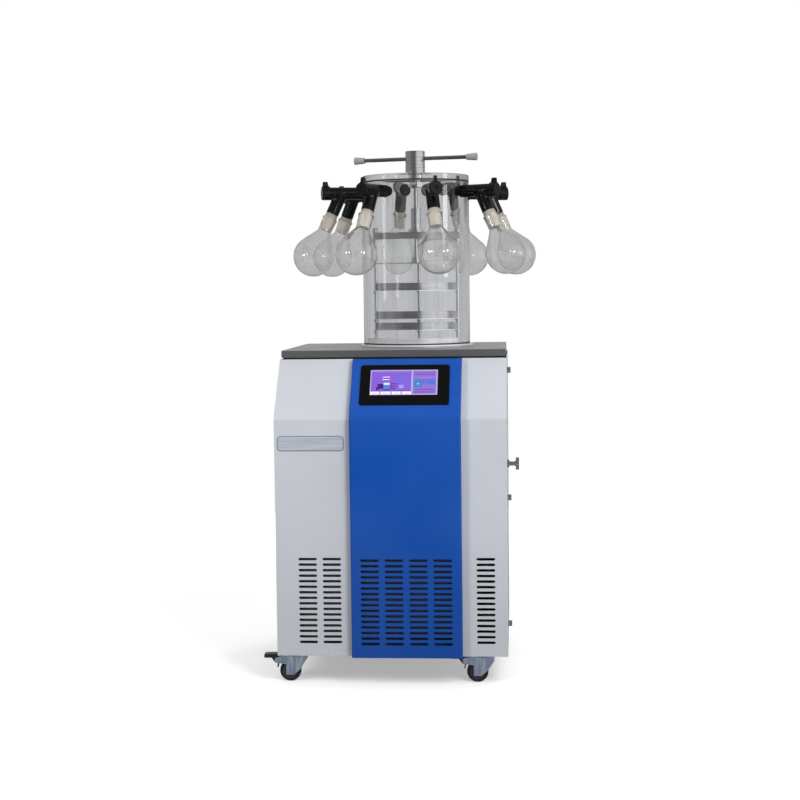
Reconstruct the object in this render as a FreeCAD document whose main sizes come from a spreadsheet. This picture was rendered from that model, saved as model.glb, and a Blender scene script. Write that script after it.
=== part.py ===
"""Floor-standing manifold freeze dryer with a top-press rack.

The cabinet stands on four swivel casters, holds the refrigeration set and carries an acrylic drying
chamber with eight rubber valves, a stoppering press and a stack of trays.
All lengths are in millimetres, +Z is up and the front faces -Y.
Sizes are first written in the cabinet's own frame: X and Y from the middle of its footprint, Z from
the floor. Every sub-part is then seated with its X and Y counted from the middle of the whole object.
"""
import FreeCAD
import Part
import Sketcher
import math
import os

SIZES = {
    # cabinet
    "cabinet_width": 534,
    "cabinet_depth": 578,
    "caster_height": 71,
    "bend_height": 620,
    "slope_depth": 112,
    "skin_bend_radius": 6,
    "sheet_thickness": 1.5,
    "skin_gap": 0.3,
    "countertop_height": 774,
    "countertop_thickness": 17,
    "countertop_inset": 3.5,
    "countertop_corner": 2,
    "countertop_edge": 1.5,
    "shadow_gap": 4,
    # welded frame inside the skins
    "floor_thickness": 3,
    "frame_tube": 20,
    "frame_inset": 7,
    "frame_setback": 8,
    # blue front cover
    "cover_centre": 35.5,
    "cover_width": 255,
    "cover_projection": 20,
    "cover_sheet": 2,
    "cover_bend_radius": 4,
    "cover_overlap": 15,
    # ventilation slots
    "slot_length": 43.5,
    "slot_height": 6,
    "slot_pitch": 12.9,
    "slot_rows": 16,
    "slot_bottom": 103.5,
    "slot_column_pitch": 55.8,
    "left_slot_inset": 101.5,
    "right_slot_inset": 50,
    "vent_length": 60,
    "vent_rows": 12,
    "vent_column_pitch": 76,
    "vent_centre": 60,
    # touch screen unit
    "hmi_centre": 33,
    "hmi_width": 206,
    "hmi_height": 113.5,
    "hmi_rise": 81,
    "hmi_face_thickness": 3,
    "hmi_corner": 6,
    "hmi_case_depth": 22,
    "hmi_case_margin": 8,
    "screen_width": 156,
    "screen_height": 72,
    "screen_shift_side": -2,
    "screen_shift_up": 6.5,
    "screen_thickness": 0.8,
    "screen_recess": 1.2,
    # nameplate
    "nameplate_inset": 84,
    "nameplate_width": 153.5,
    "nameplate_height": 35,
    "nameplate_level": 565,
    "nameplate_thickness": 1.5,
    "nameplate_corner": 9,
    # drying chamber
    "chamber_side": 42.5,
    "chamber_back": 68,
    "chamber_radius": 132.3,
    "chamber_wall": 8,
    "chamber_height": 420,
    "lid_thickness": 14,
    "lid_spigot": 9,
    "gasket_thickness": 3,
    "flange_radius": 141,
    "flange_thickness": 4,
    "collar_height": 22.5,
    "collar_wall": 6,
    "collar_gap": 0.5,
    "trap_radius": 110,
    "trap_wall": 2,
    "trap_depth": 254,
    "trap_corner": 10,
    "trap_drain_radius": 8,
    "trap_drain_bore": 6,
    "trap_drain_length": 34,
    "countertop_hole_gap": 2,
    # evaporator and insulation
    "coil_tube_radius": 4,
    "coil_gap": 0.2,
    "coil_rings": 11,
    "coil_pitch": 20,
    "coil_start": 20,
    "insulation_radius": 150,
    "insulation_inner": 123,
    "insulation_floor": 17,
    "insulation_gap": 8,
    # press
    "head_radius": 24.3,
    "head_height": 61.5,
    "head_chamfer": 1.5,
    "head_seat_gap": 0.3,
    "spindle_radius": 12,
    "running_fit": 0.05,
    "spindle_nut_radius": 18,
    "spindle_nut_thickness": 11,
    "spindle_end": 12,
    "bar_radius": 4.75,
    "bar_length": 317,
    "bar_drop": 18.5,
    "bar_turn": -14,
    "bar_end_wall": 4,
    "cap_length": 26,
    "cap_inner_radius": 7.5,
    "cap_outer_radius": 9.5,
    "rod_radius": 5,
    "rod_head_room": 4,
    "sleeve_radius": 12.5,
    "sleeve_height": 57,
    "sleeve_flange_radius": 18.5,
    "sleeve_flange_thickness": 7,
    "press_plate_level": 205,
    "press_plate_thickness": 2.5,
    "press_plate_radius": 108,
    "press_boss_radius": 11.5,
    "press_boss_height": 14,
    # rack
    "rack_rod_radius": 4,
    "rack_rod_circle": 102,
    "rack_fit": 0.1,
    "guide_gap": 0.5,
    "rack_plate_radius": 107.5,
    "rack_plate_level": 262,
    "rack_plate_thickness": 16,
    "acorn_radius": 7.5,
    "acorn_height": 12,
    "rack_base_gap": 1,
    "rack_base_width": 33,
    "rack_base_thickness": 3,
    "shelf_radius": 107.5,
    "shelf_thickness": 1.5,
    "shelf_collar_radius": 7,
    "shelf_collar_height": 5,
    "low_tray_level": 43,
    "middle_tray_level": 70,
    "high_tray_level": 138.5,
    "tray_radius": 97,
    "tray_height": 18,
    "tray_wall": 1,
    # port valves
    "port_level": 377.5,
    "port_count": 8,
    "port_phase": 15.5,
    "valve_neck_radius": 9.5,
    "valve_radius": 15,
    "valve_reach": 213,
    "valve_seat_gap": 0.3,
    "valve_bore": 7,
    "valve_lip_radius": 12,
    "valve_lip_thickness": 6,
    "valve_lip_gap": 1,
    "leg_root": 186.3,
    "leg_tilt": 25,
    "leg_radius": 15.5,
    "leg_length": 56,
    "leg_bore": 6,
    "knob_radius": 16.5,
    "knob_length": 22,
    "knob_shank": 20,
    "knob_gap": 0.3,
    "knob_dimple_radius": 4.5,
    "knob_dimple_depth": 8,
    "fin_height": 28.5,
    "fin_thickness": 7,
    "fin_foot": 18.5,
    "fin_tip": 11,
    # stoppers and flasks
    "stopper_radius": 15,
    "stopper_shoulder_radius": 16.2,
    "stopper_end_radius": 13.6,
    "stopper_neck": 4,
    "stopper_free": 11,
    "stopper_length": 44,
    "flask_rim_radius": 19,
    "flask_neck_radius": 16.8,
    "flask_neck_length": 37,
    "flask_wall": 2,
    "flask_bulb_radius": 49.5,
    "flask_bulb_distance": 102,
    "flask_fit": 0.1,
    # casters
    "wheel_radius": 25,
    "wheel_width": 20,
    "wheel_web": 13,
    "tyre_depth": 6,
    "wheel_boss_radius": 9,
    "wheel_edge": 2,
    "axle_radius": 4,
    "axle_nut_radius": 6,
    "axle_nut_thickness": 2.5,
    "caster_trail": 11,
    "caster_plate_length": 72,
    "caster_plate_width": 60,
    "caster_plate_thickness": 2.5,
    "caster_bolt_radius": 5,
    "caster_bolt_height": 2.5,
    "caster_bolt_inset": 8,
    "race_radius": 21,
    "race_height": 7,
    "kingpin_radius": 5,
    "kingpin_head": 8,
    "kingpin_head_height": 3,
    "caster_gap": 0.3,
    "fork_thickness": 3,
    "fork_top": 28,
    "fork_foot": 9,
    "fork_shoulder": 11,
    "arm_thickness": 2.5,
    "arm_gap": 1.5,
    "left_caster_inset": 33.6,
    "right_caster_inset": 60.6,
    "caster_setback": 54,
    # brake pedals
    "brake_pivot_out": 40,
    "brake_pivot_level": 50,
    "brake_pin_radius": 2,
    "brake_tip": 72,
    "brake_tip_level": 55.5,
    "brake_tip_thickness": 8.5,
    "brake_crown_level": 65.2,
    "brake_lug": 6,
    "brake_gap": 0.4,
    # right-hand side
    "side_screw_setback": 139,
    "side_screw_low": 119.5,
    "side_screw_middle": 421,
    "side_screw_high": 723,
    "side_screw_radius": 7,
    "side_screw_length": 9,
    "side_screw_shank": 2.5,
    "side_screw_grip": 14,
    "drain_valve_setback": 64,
    "drain_valve_level": 510,
    "drain_stem_radius": 5,
    "drain_stem_length": 17,
    "drain_stem_inside": 18,
    "drain_nut_radius": 9,
    "drain_nut_thickness": 5,
    "drain_knob_length": 10,
    "drain_wing_height": 28,
    "drain_wing_thickness": 5,
    "drain_hub_radius": 6.5,
    "drain_shank_radius": 3,
    "drain_shank_length": 10,
    "hole_gap": 0.3,
    # refrigeration set
    "compressor_side": 95,
    "compressor_back": 110,
    "compressor_radius": 75,
    "compressor_height": 180,
    "compressor_dome": 22,
    "compressor_foot_height": 10,
    "compressor_foot_radius": 12,
    "compressor_plate_length": 190,
    "compressor_plate_width": 120,
    "compressor_plate_thickness": 3,
    "condenser_centre": -35,
    "condenser_width": 370,
    "condenser_setback": 31,
    "condenser_depth": 34,
    "condenser_top": 306,
    "shroud_depth": 24,
    "fan_level": 195,
    "fan_opening": 98,
    "fan_radius": 92,
    "fan_hub_radius": 22,
    "fan_hub_length": 18,
    "fan_blades": 5,
    "fan_blade_chord": 38,
    "fan_blade_thickness": 2,
    "fan_blade_pitch": 28,
    "motor_radius": 32,
    "motor_length": 30,
    "motor_shaft_radius": 4,
    "bracket_width": 20,
    "bracket_thickness": 4,
    "control_box_width": 108,
    "control_box_depth": 200,
    "control_box_height": 136,
    "control_box_front": -120,
    # rear connections
    "inlet_inset": 77,
    "inlet_level": 160,
    "inlet_width": 30,
    "inlet_height": 60,
    "inlet_flange": 4,
    "inlet_flange_thickness": 2.5,
    "inlet_depth": 30,
    "socket_width": 24,
    "socket_height": 17,
    "socket_depth": 16,
    "socket_drop": 14,
    "switch_width": 22,
    "switch_height": 20,
    "switch_rise": 14,
    "switch_depth": 10,
    "switch_pin_radius": 1.5,
    "switch_gap": 0.5,
    "switch_rise_out": 3.5,
    "inlet_pin_width": 5,
    "inlet_pin_thickness": 2,
    "inlet_pin_pitch": 7,
    "inlet_pin_length": 10,
    "vacuum_inset": 77,
    "vacuum_level": 660,
    "vacuum_radius": 12.5,
    "vacuum_bore": 9,
    "vacuum_length": 38,
    "vacuum_inside": 40,
    "vacuum_flange_radius": 22,
    "vacuum_flange_thickness": 4,
}


class Size:
    """A number together with the sheet formula that gives it."""

    def __init__(self, value, formula):
        self.value = float(value)
        self.formula = formula

    def __add__(self, other):
        other = as_size(other)
        return Size(self.value + other.value, f"({self.formula} + {other.formula})")

    __radd__ = __add__

    def __sub__(self, other):
        other = as_size(other)
        return Size(self.value - other.value, f"({self.formula} - {other.formula})")

    def __rsub__(self, other):
        return as_size(other) - self

    def __mul__(self, other):
        other = as_size(other)
        return Size(self.value * other.value, f"({self.formula} * {other.formula})")

    __rmul__ = __mul__

    def __truediv__(self, other):
        other = as_size(other)
        return Size(self.value / other.value, f"({self.formula} / {other.formula})")

    def __neg__(self):
        return self * -1

    def __float__(self):
        return self.value


def as_size(number):
    if isinstance(number, Size):
        return number
    return Size(number, repr(float(number)))


def root(size):
    return Size(math.sqrt(size.value), f"sqrt({size.formula})")


def sine(size):
    return Size(math.sin(math.radians(size.value)), f"sin({size.formula} * 1 deg)")


def cosine(size):
    return Size(math.cos(math.radians(size.value)), f"cos({size.formula} * 1 deg)")


doc = FreeCAD.newDocument("FreezeDryer")
sheet = doc.addObject("Spreadsheet::Sheet", "Sizes")
for row, (alias, number) in enumerate(SIZES.items(), start=1):
    sheet.set(f"A{row}", alias.replace("_", " "))
    sheet.set(f"B{row}", str(number))
    sheet.setAlias(f"B{row}", alias)
doc.recompute()


def size(alias):
    return Size(SIZES[alias], f"Sizes.{alias}")


# ---------------------------------------------------------------------------------------------
# drawing helpers
# ---------------------------------------------------------------------------------------------
SIDES = {"XY_Plane": 1, "YZ_Plane": 1, "XZ_Plane": -1}  # which way the plane's normal points on its axis


def bind(item, prop, number):
    """Drive a property from the sheet."""
    number = as_size(number)
    item.setExpression(prop, number.formula)


def new_body(label):
    body = doc.addObject("PartDesign::Body", label)
    body.Label = label
    return body


def new_sketch(body, role, start=0, tilt=None, base=None):
    """Sketch on one of the body's origin planes, moved along the plane's axis to start.

    With tilt, the sketch is turned about X by that angle and stands at base instead.
    """
    sketch = body.newObject("Sketcher::SketchObject", "Sketch")
    plane = next(item for item in body.Origin.OriginFeatures if item.Role == role)
    sketch.AttachmentSupport = [(plane, "")]
    sketch.MapMode = "FlatFace"
    if tilt is not None:
        turn = FreeCAD.Rotation(FreeCAD.Vector(1, 0, 0), float(tilt))
        sketch.AttachmentOffset = FreeCAD.Placement(FreeCAD.Vector(*[float(v) for v in base]), turn)
        for axis, number in zip("xyz", base):
            bind(sketch, f"AttachmentOffset.Base.{axis}", number)
    elif float(start) != 0:
        bind(sketch, "AttachmentOffset.Base.z", as_size(start) * SIDES[role])
    return sketch


def pin_point(sketch, item, end, x, y):
    """Hold a point of the sketch at x, y from its origin."""
    for kind, number in (("DistanceX", as_size(x)), ("DistanceY", as_size(y))):
        index = sketch.addConstraint(Sketcher.Constraint(kind, -1, 1, item, end, number.value))
        sketch.setExpression(f"Constraints[{index}]", number.formula)


def draw_outline(sketch, points):
    """Closed outline through the points (x, y) or (x, y, radius).

    A radius makes the stretch to the next point an arc that bulges to the right of the way there,
    and a negative one an arc that bulges to the left.
    """
    first = sketch.GeometryCount
    ends = []
    for here, after in zip(points, points[1:] + points[:1]):
        start = FreeCAD.Vector(float(here[0]), float(here[1]), 0)
        stop = FreeCAD.Vector(float(after[0]), float(after[1]), 0)
        if len(here) == 2:
            sketch.addGeometry(Part.LineSegment(start, stop), False)
        else:
            chord = stop - start
            radius = float(here[2])
            side = FreeCAD.Vector(-chord.y, chord.x, 0).normalize() * math.copysign(1, radius)
            middle = (start + stop) / 2
            centre = middle + side * math.sqrt(max(radius ** 2 - (chord.Length / 2) ** 2, 0))
            angles = [math.atan2(p.y - centre.y, p.x - centre.x) for p in (start, stop)]
            if radius < 0:
                angles.reverse()
            circle = Part.Circle(centre, FreeCAD.Vector(0, 0, 1), abs(radius))
            sketch.addGeometry(Part.ArcOfCircle(circle, angles[0], angles[1]), False)
        turned = len(here) == 3 and float(here[2]) < 0
        ends.append((2, 1) if turned else (1, 2))
    count = len(points)
    for number in range(count):
        after = (number + 1) % count
        sketch.addConstraint(Sketcher.Constraint(
            "Coincident", first + number, ends[number][1], first + after, ends[after][0]))
    for number, point in enumerate(points):
        pin_point(sketch, first + number, ends[number][0], point[0], point[1])
        if len(point) == 3:
            radius = as_size(point[2])
            radius = -radius if radius.value < 0 else radius
            index = sketch.addConstraint(Sketcher.Constraint("Radius", first + number, radius.value))
            sketch.setExpression(f"Constraints[{index}]", radius.formula)


def draw_circle(sketch, x, y, radius):
    radius = as_size(radius)
    centre = FreeCAD.Vector(float(x), float(y), 0)
    circle = Part.Circle(centre, FreeCAD.Vector(0, 0, 1), radius.value)
    item = sketch.addGeometry(circle, False)
    pin_point(sketch, item, 3, x, y)
    index = sketch.addConstraint(Sketcher.Constraint("Radius", item, radius.value))
    sketch.setExpression(f"Constraints[{index}]", radius.formula)


def rectangle(x_low, x_high, y_low, y_high):
    return [(x_low, y_low), (x_high, y_low), (x_high, y_high), (x_low, y_high)]


def rounded_rectangle(x_low, x_high, y_low, y_high, radius):
    return [
        (x_low + radius, y_low), (x_high - radius, y_low, radius),
        (x_high, y_low + radius), (x_high, y_high - radius, radius),
        (x_high - radius, y_high), (x_low + radius, y_high, radius),
        (x_low, y_high - radius), (x_low, y_low + radius, radius),
    ]


def obround(x, y, length, height):
    """A slot's outline, lying along x about its centre, with ends a hair flatter than half circles."""
    flat = (length - height) / 2
    radius = height * 0.51
    return [
        (x - flat, y - height / 2), (x + flat, y - height / 2, radius),
        (x + flat, y + height / 2), (x - flat, y + height / 2, radius),
    ]


def fill(sketch, shapes):
    """Draw outlines (lists of points) and circles (x, y, radius) into a sketch."""
    for shape in shapes:
        if isinstance(shape, list):
            draw_outline(sketch, shape)
        else:
            draw_circle(sketch, *shape)


def pad(body, role, shapes, start, length, tilt=None, base=None, down=False):
    """Add a prism that runs from start along the plane's axis, towards the higher coordinate."""
    sketch = new_sketch(body, role, start, tilt, base)
    fill(sketch, shapes)
    feature = body.newObject("PartDesign::Pad", "Pad")
    feature.Profile = sketch
    feature.Reversed = (SIDES[role] < 0) != down
    bind(feature, "Length", length)
    return feature


def pocket(body, role, shapes, start, length, tilt=None, base=None, down=False):
    """Cut a prism that runs from start along the plane's axis, towards the higher coordinate."""
    sketch = new_sketch(body, role, start, tilt, base)
    fill(sketch, shapes)
    feature = body.newObject("PartDesign::Pocket", "Pocket")
    feature.Profile = sketch
    feature.Reversed = (SIDES[role] > 0) != down
    bind(feature, "Length", length)
    return feature


def revolve(body, points, axis="V_Axis", role="XZ_Plane"):
    sketch = new_sketch(body, role)
    draw_outline(sketch, points)
    feature = body.newObject("PartDesign::Revolution", "Revolution")
    feature.Profile = sketch
    feature.ReferenceAxis = (sketch, [axis])
    feature.Angle = 360
    return feature


def groove(body, points, axis="V_Axis", role="XZ_Plane"):
    sketch = new_sketch(body, role)
    draw_outline(sketch, points)
    feature = body.newObject("PartDesign::Groove", "Groove")
    feature.Profile = sketch
    feature.ReferenceAxis = (sketch, [axis])
    feature.Angle = 360
    return feature


def turn_pattern(body, feature, count):
    """Repeat a feature round the body's Z axis."""
    pattern = body.newObject("PartDesign::PolarPattern", "Ring")
    pattern.Originals = [feature]
    axis = next(item for item in body.Origin.OriginFeatures if item.Role == "Z_Axis")
    pattern.Axis = (axis, [""])
    pattern.Angle = 360
    bind(pattern, "Occurrences", count)
    body.Tip = pattern


def grid_pattern(body, feature, column_pitch, columns, row_pitch, rows):
    """Repeat a feature in columns along its sketch's x and rows along its y."""
    pattern = body.newObject("PartDesign::LinearPattern", "Grid")
    pattern.Originals = [feature]
    pattern.Direction = (feature.Profile[0], ["V_Axis"])
    bind(pattern, "Length", row_pitch * (rows - 1))
    bind(pattern, "Occurrences", rows)
    if columns > 1:
        pattern.Direction2 = (feature.Profile[0], ["H_Axis"])
        bind(pattern, "Length2", column_pitch * (columns - 1))
        pattern.Occurrences2 = columns
    body.Tip = pattern


def group(label, shapes):
    """Separate like solids that share one node."""
    item = doc.addObject("Part::Feature", label)
    item.Shape = Part.makeCompound(shapes)
    item.Label = label
    return item


nodes = []


def keep(item):
    nodes.append(item)
    return item


# ---------------------------------------------------------------------------------------------
# shared places
# ---------------------------------------------------------------------------------------------
half_width = size("cabinet_width") / 2
half_depth = size("cabinet_depth") / 2
front = -half_depth
base = size("caster_height")
floor_top = base + size("floor_thickness")
counter = size("countertop_height")
counter_under = counter - size("countertop_thickness")
skin_top = counter_under - size("shadow_gap")
sheet_wall = size("sheet_thickness")

# slope of the front's upper facet, from the bend up and back to the countertop
slope_top = front + size("slope_depth")
slope_rise = skin_top - size("bend_height")
slope_length = root(slope_rise * slope_rise + size("slope_depth") * size("slope_depth"))
slope_sine = slope_rise / slope_length
slope_cosine = size("slope_depth") / slope_length
half_bend = (1 - slope_sine) / slope_cosine
slope_angle = math.degrees(math.atan2(float(slope_rise), float(size("slope_depth"))))

# places counted in from the cabinet's sides and front
side_screw_back = front + size("side_screw_setback")
drain_valve_back = front + size("drain_valve_setback")
inlet_side = size("inlet_inset") - half_width
vacuum_side = half_width - size("vacuum_inset")

cover_left = size("cover_centre") - size("cover_width") / 2
cover_right = size("cover_centre") + size("cover_width") / 2

axis_side = size("chamber_side")
axis_back = size("chamber_back")
ports = [size("port_phase") + 360 / SIZES["port_count"] * n for n in range(SIZES["port_count"])]
port_height = counter + size("port_level")

# reach of the flasks: the bulb's centre as seen from the chamber's axis
leg_sine = sine(size("leg_tilt"))
leg_cosine = cosine(size("leg_tilt"))
rim_distance = size("leg_length") + size("stopper_free")
bulb_distance = rim_distance + size("flask_bulb_distance")
bulb_circle = size("leg_root") + bulb_distance * leg_sine
far_right = max((sine(angle) for angle in ports), key=float)
far_back = max((-cosine(angle) for angle in ports), key=float)

# the whole object's box, whose middle is the origin
reach_left = size("left_caster_inset") - half_width - size("brake_tip")
reach_right = axis_side + bulb_circle * far_right + size("flask_bulb_radius")
reach_front = front - size("cover_projection")
reach_back = axis_back + bulb_circle * far_back + size("flask_bulb_radius")
middle_side = (reach_left + reach_right) / 2
middle_back = (reach_front + reach_back) / 2


def seat(item, side=0, back=0, height=0, rotation=None):
    """Place a sub-part: its own origin goes to this point of the cabinet's frame."""
    if rotation is not None:
        item.Placement = FreeCAD.Placement(FreeCAD.Vector(0, 0, 0), rotation)
    bind(item, "Placement.Base.x", side - middle_side)
    bind(item, "Placement.Base.y", back - middle_back)
    bind(item, "Placement.Base.z", as_size(height))
    return keep(item)


def about_z(degrees):
    return FreeCAD.Rotation(FreeCAD.Vector(0, 0, 1), float(degrees))


def moved(shape, side, back, height, rotation=None):
    """Copy of a shape, turned about its own origin and carried to a point."""
    copy = shape.copy()
    target = FreeCAD.Vector(float(side), float(back), float(height))
    copy.Placement = FreeCAD.Placement(target, rotation or FreeCAD.Rotation())
    return copy


def bend_foot(distance):
    """Where a face this far in front of the cabinet's front starts its bend."""
    return (front - distance, size("bend_height") - size("skin_bend_radius") * half_bend)


def bend_head(distance):
    """Where the same face's bend runs out into the slope."""
    radius = size("skin_bend_radius")
    back = front + radius - (radius + distance) * slope_sine
    return (back, size("bend_height") - radius * half_bend + (radius + distance) * slope_cosine)


def skin_profile(low, outer, inner, top):
    """Side view of a front skin between two parallel faces that follow the bend.

    outer and inner are the faces' distances in front of the cabinet's own front face, low is the
    bottom edge and top the upper edge.
    """
    def crest(distance):
        rise_short = skin_top - top
        return (slope_top - distance / slope_sine - rise_short * slope_cosine / slope_sine, top)

    return [
        (front - outer, low), (*bend_foot(outer), -size("skin_bend_radius") - outer), bend_head(outer),
        crest(outer), crest(inner), (*bend_head(inner), size("skin_bend_radius") + inner),
        bend_foot(inner), (front - inner, low),
    ]


# ---------------------------------------------------------------------------------------------
# cabinet
# ---------------------------------------------------------------------------------------------
def base_frame():
    """Welded frame: floor plate, two side hoops that follow the cabinet's side view, cross rails."""
    body = new_body("base_frame")
    plate_x = half_width - sheet_wall - size("skin_gap")
    plate_y = half_depth - sheet_wall - size("skin_gap")
    tube = size("frame_tube")
    outer_x = half_width - size("frame_inset")
    inner_x = outer_x - tube
    setback = size("frame_setback")
    back_y = half_depth - sheet_wall - size("skin_gap")
    front_y = front + setback
    shoulder_y = slope_top + setback
    knee = size("bend_height") - setback / 2
    pad(body, "XY_Plane", [rectangle(-plate_x, plate_x, -plate_y, plate_y)], base, size("floor_thickness"))
    hoop = [
        (front_y, floor_top), (back_y, floor_top), (back_y, counter_under),
        (shoulder_y, counter_under), (front_y, knee),
    ]
    window = [
        (front_y + tube, floor_top + tube), (back_y - tube, floor_top + tube),
        (back_y - tube, counter_under - tube), (shoulder_y + tube / 2, counter_under - tube),
        (front_y + tube, knee - tube / 2),
    ]
    post_y = side_screw_back
    for start in (-outer_x, inner_x):
        pad(body, "YZ_Plane", [hoop, window], start, tube)
        post = rectangle(post_y - tube / 2, post_y + tube / 2, floor_top, counter_under)
        pad(body, "YZ_Plane", [post], start, tube)
    for low_y, low_z in (
        (front_y, floor_top), (back_y - tube, floor_top),
        (shoulder_y, counter_under - tube), (back_y - tube, counter_under - tube),
    ):
        pad(body, "YZ_Plane", [rectangle(low_y, low_y + tube, low_z, low_z + tube)],
            -inner_x, inner_x * 2)
    tapped = [(post_y, size(level), size("side_screw_shank") + size("rack_fit"))
              for level in ("side_screw_low", "side_screw_middle", "side_screw_high")]
    pocket(body, "YZ_Plane", tapped, inner_x, tube)
    return seat(body)


def skin_side(body, start):
    """Flat side sheet with the cabinet's side view."""
    side_view = [
        (front, base), (half_depth, base), (half_depth, skin_top),
        (slope_top, skin_top), (*bend_head(as_size(0)), size("skin_bend_radius")), bend_foot(as_size(0)),
    ]
    pad(body, "YZ_Plane", [side_view], start, sheet_wall)


def side_slots(body, centre, columns, face, depth):
    first = centre - size("slot_column_pitch") * (columns - 1) / 2
    slot = obround(first, size("slot_bottom"), size("slot_length"), size("slot_height"))
    cut = pocket(body, "XZ_Plane", [slot], face, depth)
    grid_pattern(body, cut, size("slot_column_pitch"), columns, size("slot_pitch"), size("slot_rows"))


def on_facet(rise):
    """Point of the cover's upper facet, rise up the slope from the cabinet's bend."""
    proud = size("cover_projection")
    back = front - proud * slope_sine + rise * slope_cosine
    height = size("bend_height") + proud * slope_cosine + rise * slope_sine
    return back, height


def left_panel():
    """Side sheet and the left part of the front, folded from one piece."""
    body = new_body("left_panel")
    skin_side(body, -half_width)
    width = cover_left + size("cover_overlap") + half_width
    pad(body, "YZ_Plane", [skin_profile(base, as_size(0), -sheet_wall, skin_top)], -half_width, width)
    side_slots(body, size("left_slot_inset") - half_width, 2, front, sheet_wall * 2)
    return seat(body)


def right_panel():
    """Side sheet and the right part of the front, with holes for the screws and the drain valve."""
    body = new_body("right_panel")
    skin_side(body, half_width - sheet_wall)
    start = cover_right - size("cover_overlap")
    pad(body, "YZ_Plane", [skin_profile(base, as_size(0), -sheet_wall, skin_top)],
        start, half_width - start)
    holes = [(side_screw_back, size(level), size("side_screw_shank") + size("hole_gap"))
             for level in ("side_screw_low", "side_screw_middle", "side_screw_high")]
    holes.append((drain_valve_back, size("drain_valve_level"),
                  size("drain_stem_radius") + size("hole_gap")))
    pocket(body, "YZ_Plane", holes, half_width - sheet_wall * 2, sheet_wall * 3)
    side_slots(body, half_width - size("right_slot_inset"), 1, front, sheet_wall * 2)
    return seat(body)


def rear_panel():
    """Flat rear sheet between the side sheets, with vents and the rear connections' holes."""
    body = new_body("rear_panel")
    edge = half_width - sheet_wall - size("skin_gap")
    face = half_depth - sheet_wall
    pad(body, "XZ_Plane", [rectangle(-edge, edge, base, skin_top)], face, sheet_wall)
    opening = rectangle(
        inlet_side - size("inlet_width") / 2 - size("hole_gap"),
        inlet_side + size("inlet_width") / 2 + size("hole_gap"),
        size("inlet_level") - size("inlet_height") / 2 - size("hole_gap"),
        size("inlet_level") + size("inlet_height") / 2 + size("hole_gap"))
    port = (vacuum_side, size("vacuum_level"), size("vacuum_radius") + size("hole_gap"))
    pocket(body, "XZ_Plane", [opening, port], face - sheet_wall, sheet_wall * 3)
    first = size("vent_centre") - size("vent_column_pitch")
    slot = obround(first, size("slot_bottom") + size("slot_pitch"), size("vent_length"), size("slot_height"))
    cut = pocket(body, "XZ_Plane", [slot], face - sheet_wall, sheet_wall * 3)
    grid_pattern(body, cut, size("vent_column_pitch"), 3, size("slot_pitch"), size("vent_rows"))
    return seat(body)


def front_cover():
    """Blue cover, folded with four flanges, standing proud of the front and cut for the screen."""
    body = new_body("front_cover")
    proud = size("cover_projection")
    wall = size("cover_sheet")
    block = pad(body, "YZ_Plane", [skin_profile(base, proud, as_size(0), skin_top)],
                cover_left, size("cover_width"))
    doc.recompute()
    rounded = body.newObject("PartDesign::Fillet", "Bends")
    edges = []
    limit = float(front - proud) + float(slope_top - front) + 1
    for number, edge in enumerate(block.Shape.Edges, start=1):
        box = edge.BoundBox
        on_flank = min(abs(box.XMin - float(cover_left)), abs(box.XMax - float(cover_right))) < 0.01
        slender = box.XLength < 0.01 and box.ZLength > float(wall)
        ahead = box.YMin < float(front) - 1 and box.YMax < limit
        if on_flank and slender and ahead:
            edges.append(f"Edge{number}")
    rounded.Base = (block, edges)
    bind(rounded, "Radius", size("cover_bend_radius"))
    inside = skin_profile(base + wall, proud - wall, -wall, skin_top - wall)
    pocket(body, "YZ_Plane", [inside], cover_left + wall, size("cover_width") - wall * 2)
    half_x = size("hmi_width") / 2 - size("hmi_case_margin")
    centre_z = on_facet(size("hmi_rise"))[1]
    half_z = (size("hmi_height") / 2 - size("hmi_case_margin") / 2) * slope_sine
    window = rectangle(size("hmi_centre") - half_x, size("hmi_centre") + half_x,
                       centre_z - half_z, centre_z + half_z)
    pocket(body, "XZ_Plane", [window], front - proud - wall, size("slope_depth") + proud + wall)
    side_slots(body, size("cover_centre"), 4, front - proud, wall * 2)
    return seat(body)


def countertop():
    """Grey slab with the round opening that the cold trap hangs in."""
    body = new_body("countertop")
    half = half_width - size("countertop_inset")
    slab = rounded_rectangle(-half, half, slope_top, half_depth, size("countertop_corner"))
    hole = (axis_side, axis_back, size("trap_radius") + size("countertop_hole_gap"))
    block = pad(body, "XY_Plane", [slab, hole], counter_under, size("countertop_thickness"))
    doc.recompute()
    eased = body.newObject("PartDesign::Fillet", "Edge")
    edges = []
    for number, edge in enumerate(block.Shape.Edges, start=1):
        box = edge.BoundBox
        on_top = box.ZMin > float(counter) - 0.01
        if on_top and min(box.XLength, box.YLength) < float(size("trap_radius")):
            edges.append(f"Edge{number}")
    eased.Base = (block, edges)
    bind(eased, "Radius", size("countertop_edge"))
    return seat(body)


def nameplate():
    body = new_body("nameplate")
    half_x = size("nameplate_width") / 2
    half_z = size("nameplate_height") / 2
    plate = rounded_rectangle(-half_x, half_x, -half_z, half_z, size("nameplate_corner"))
    pad(body, "XZ_Plane", [plate], -size("nameplate_thickness"), size("nameplate_thickness"))
    return seat(body, size("nameplate_inset") - half_width, front, size("nameplate_level"))


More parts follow.
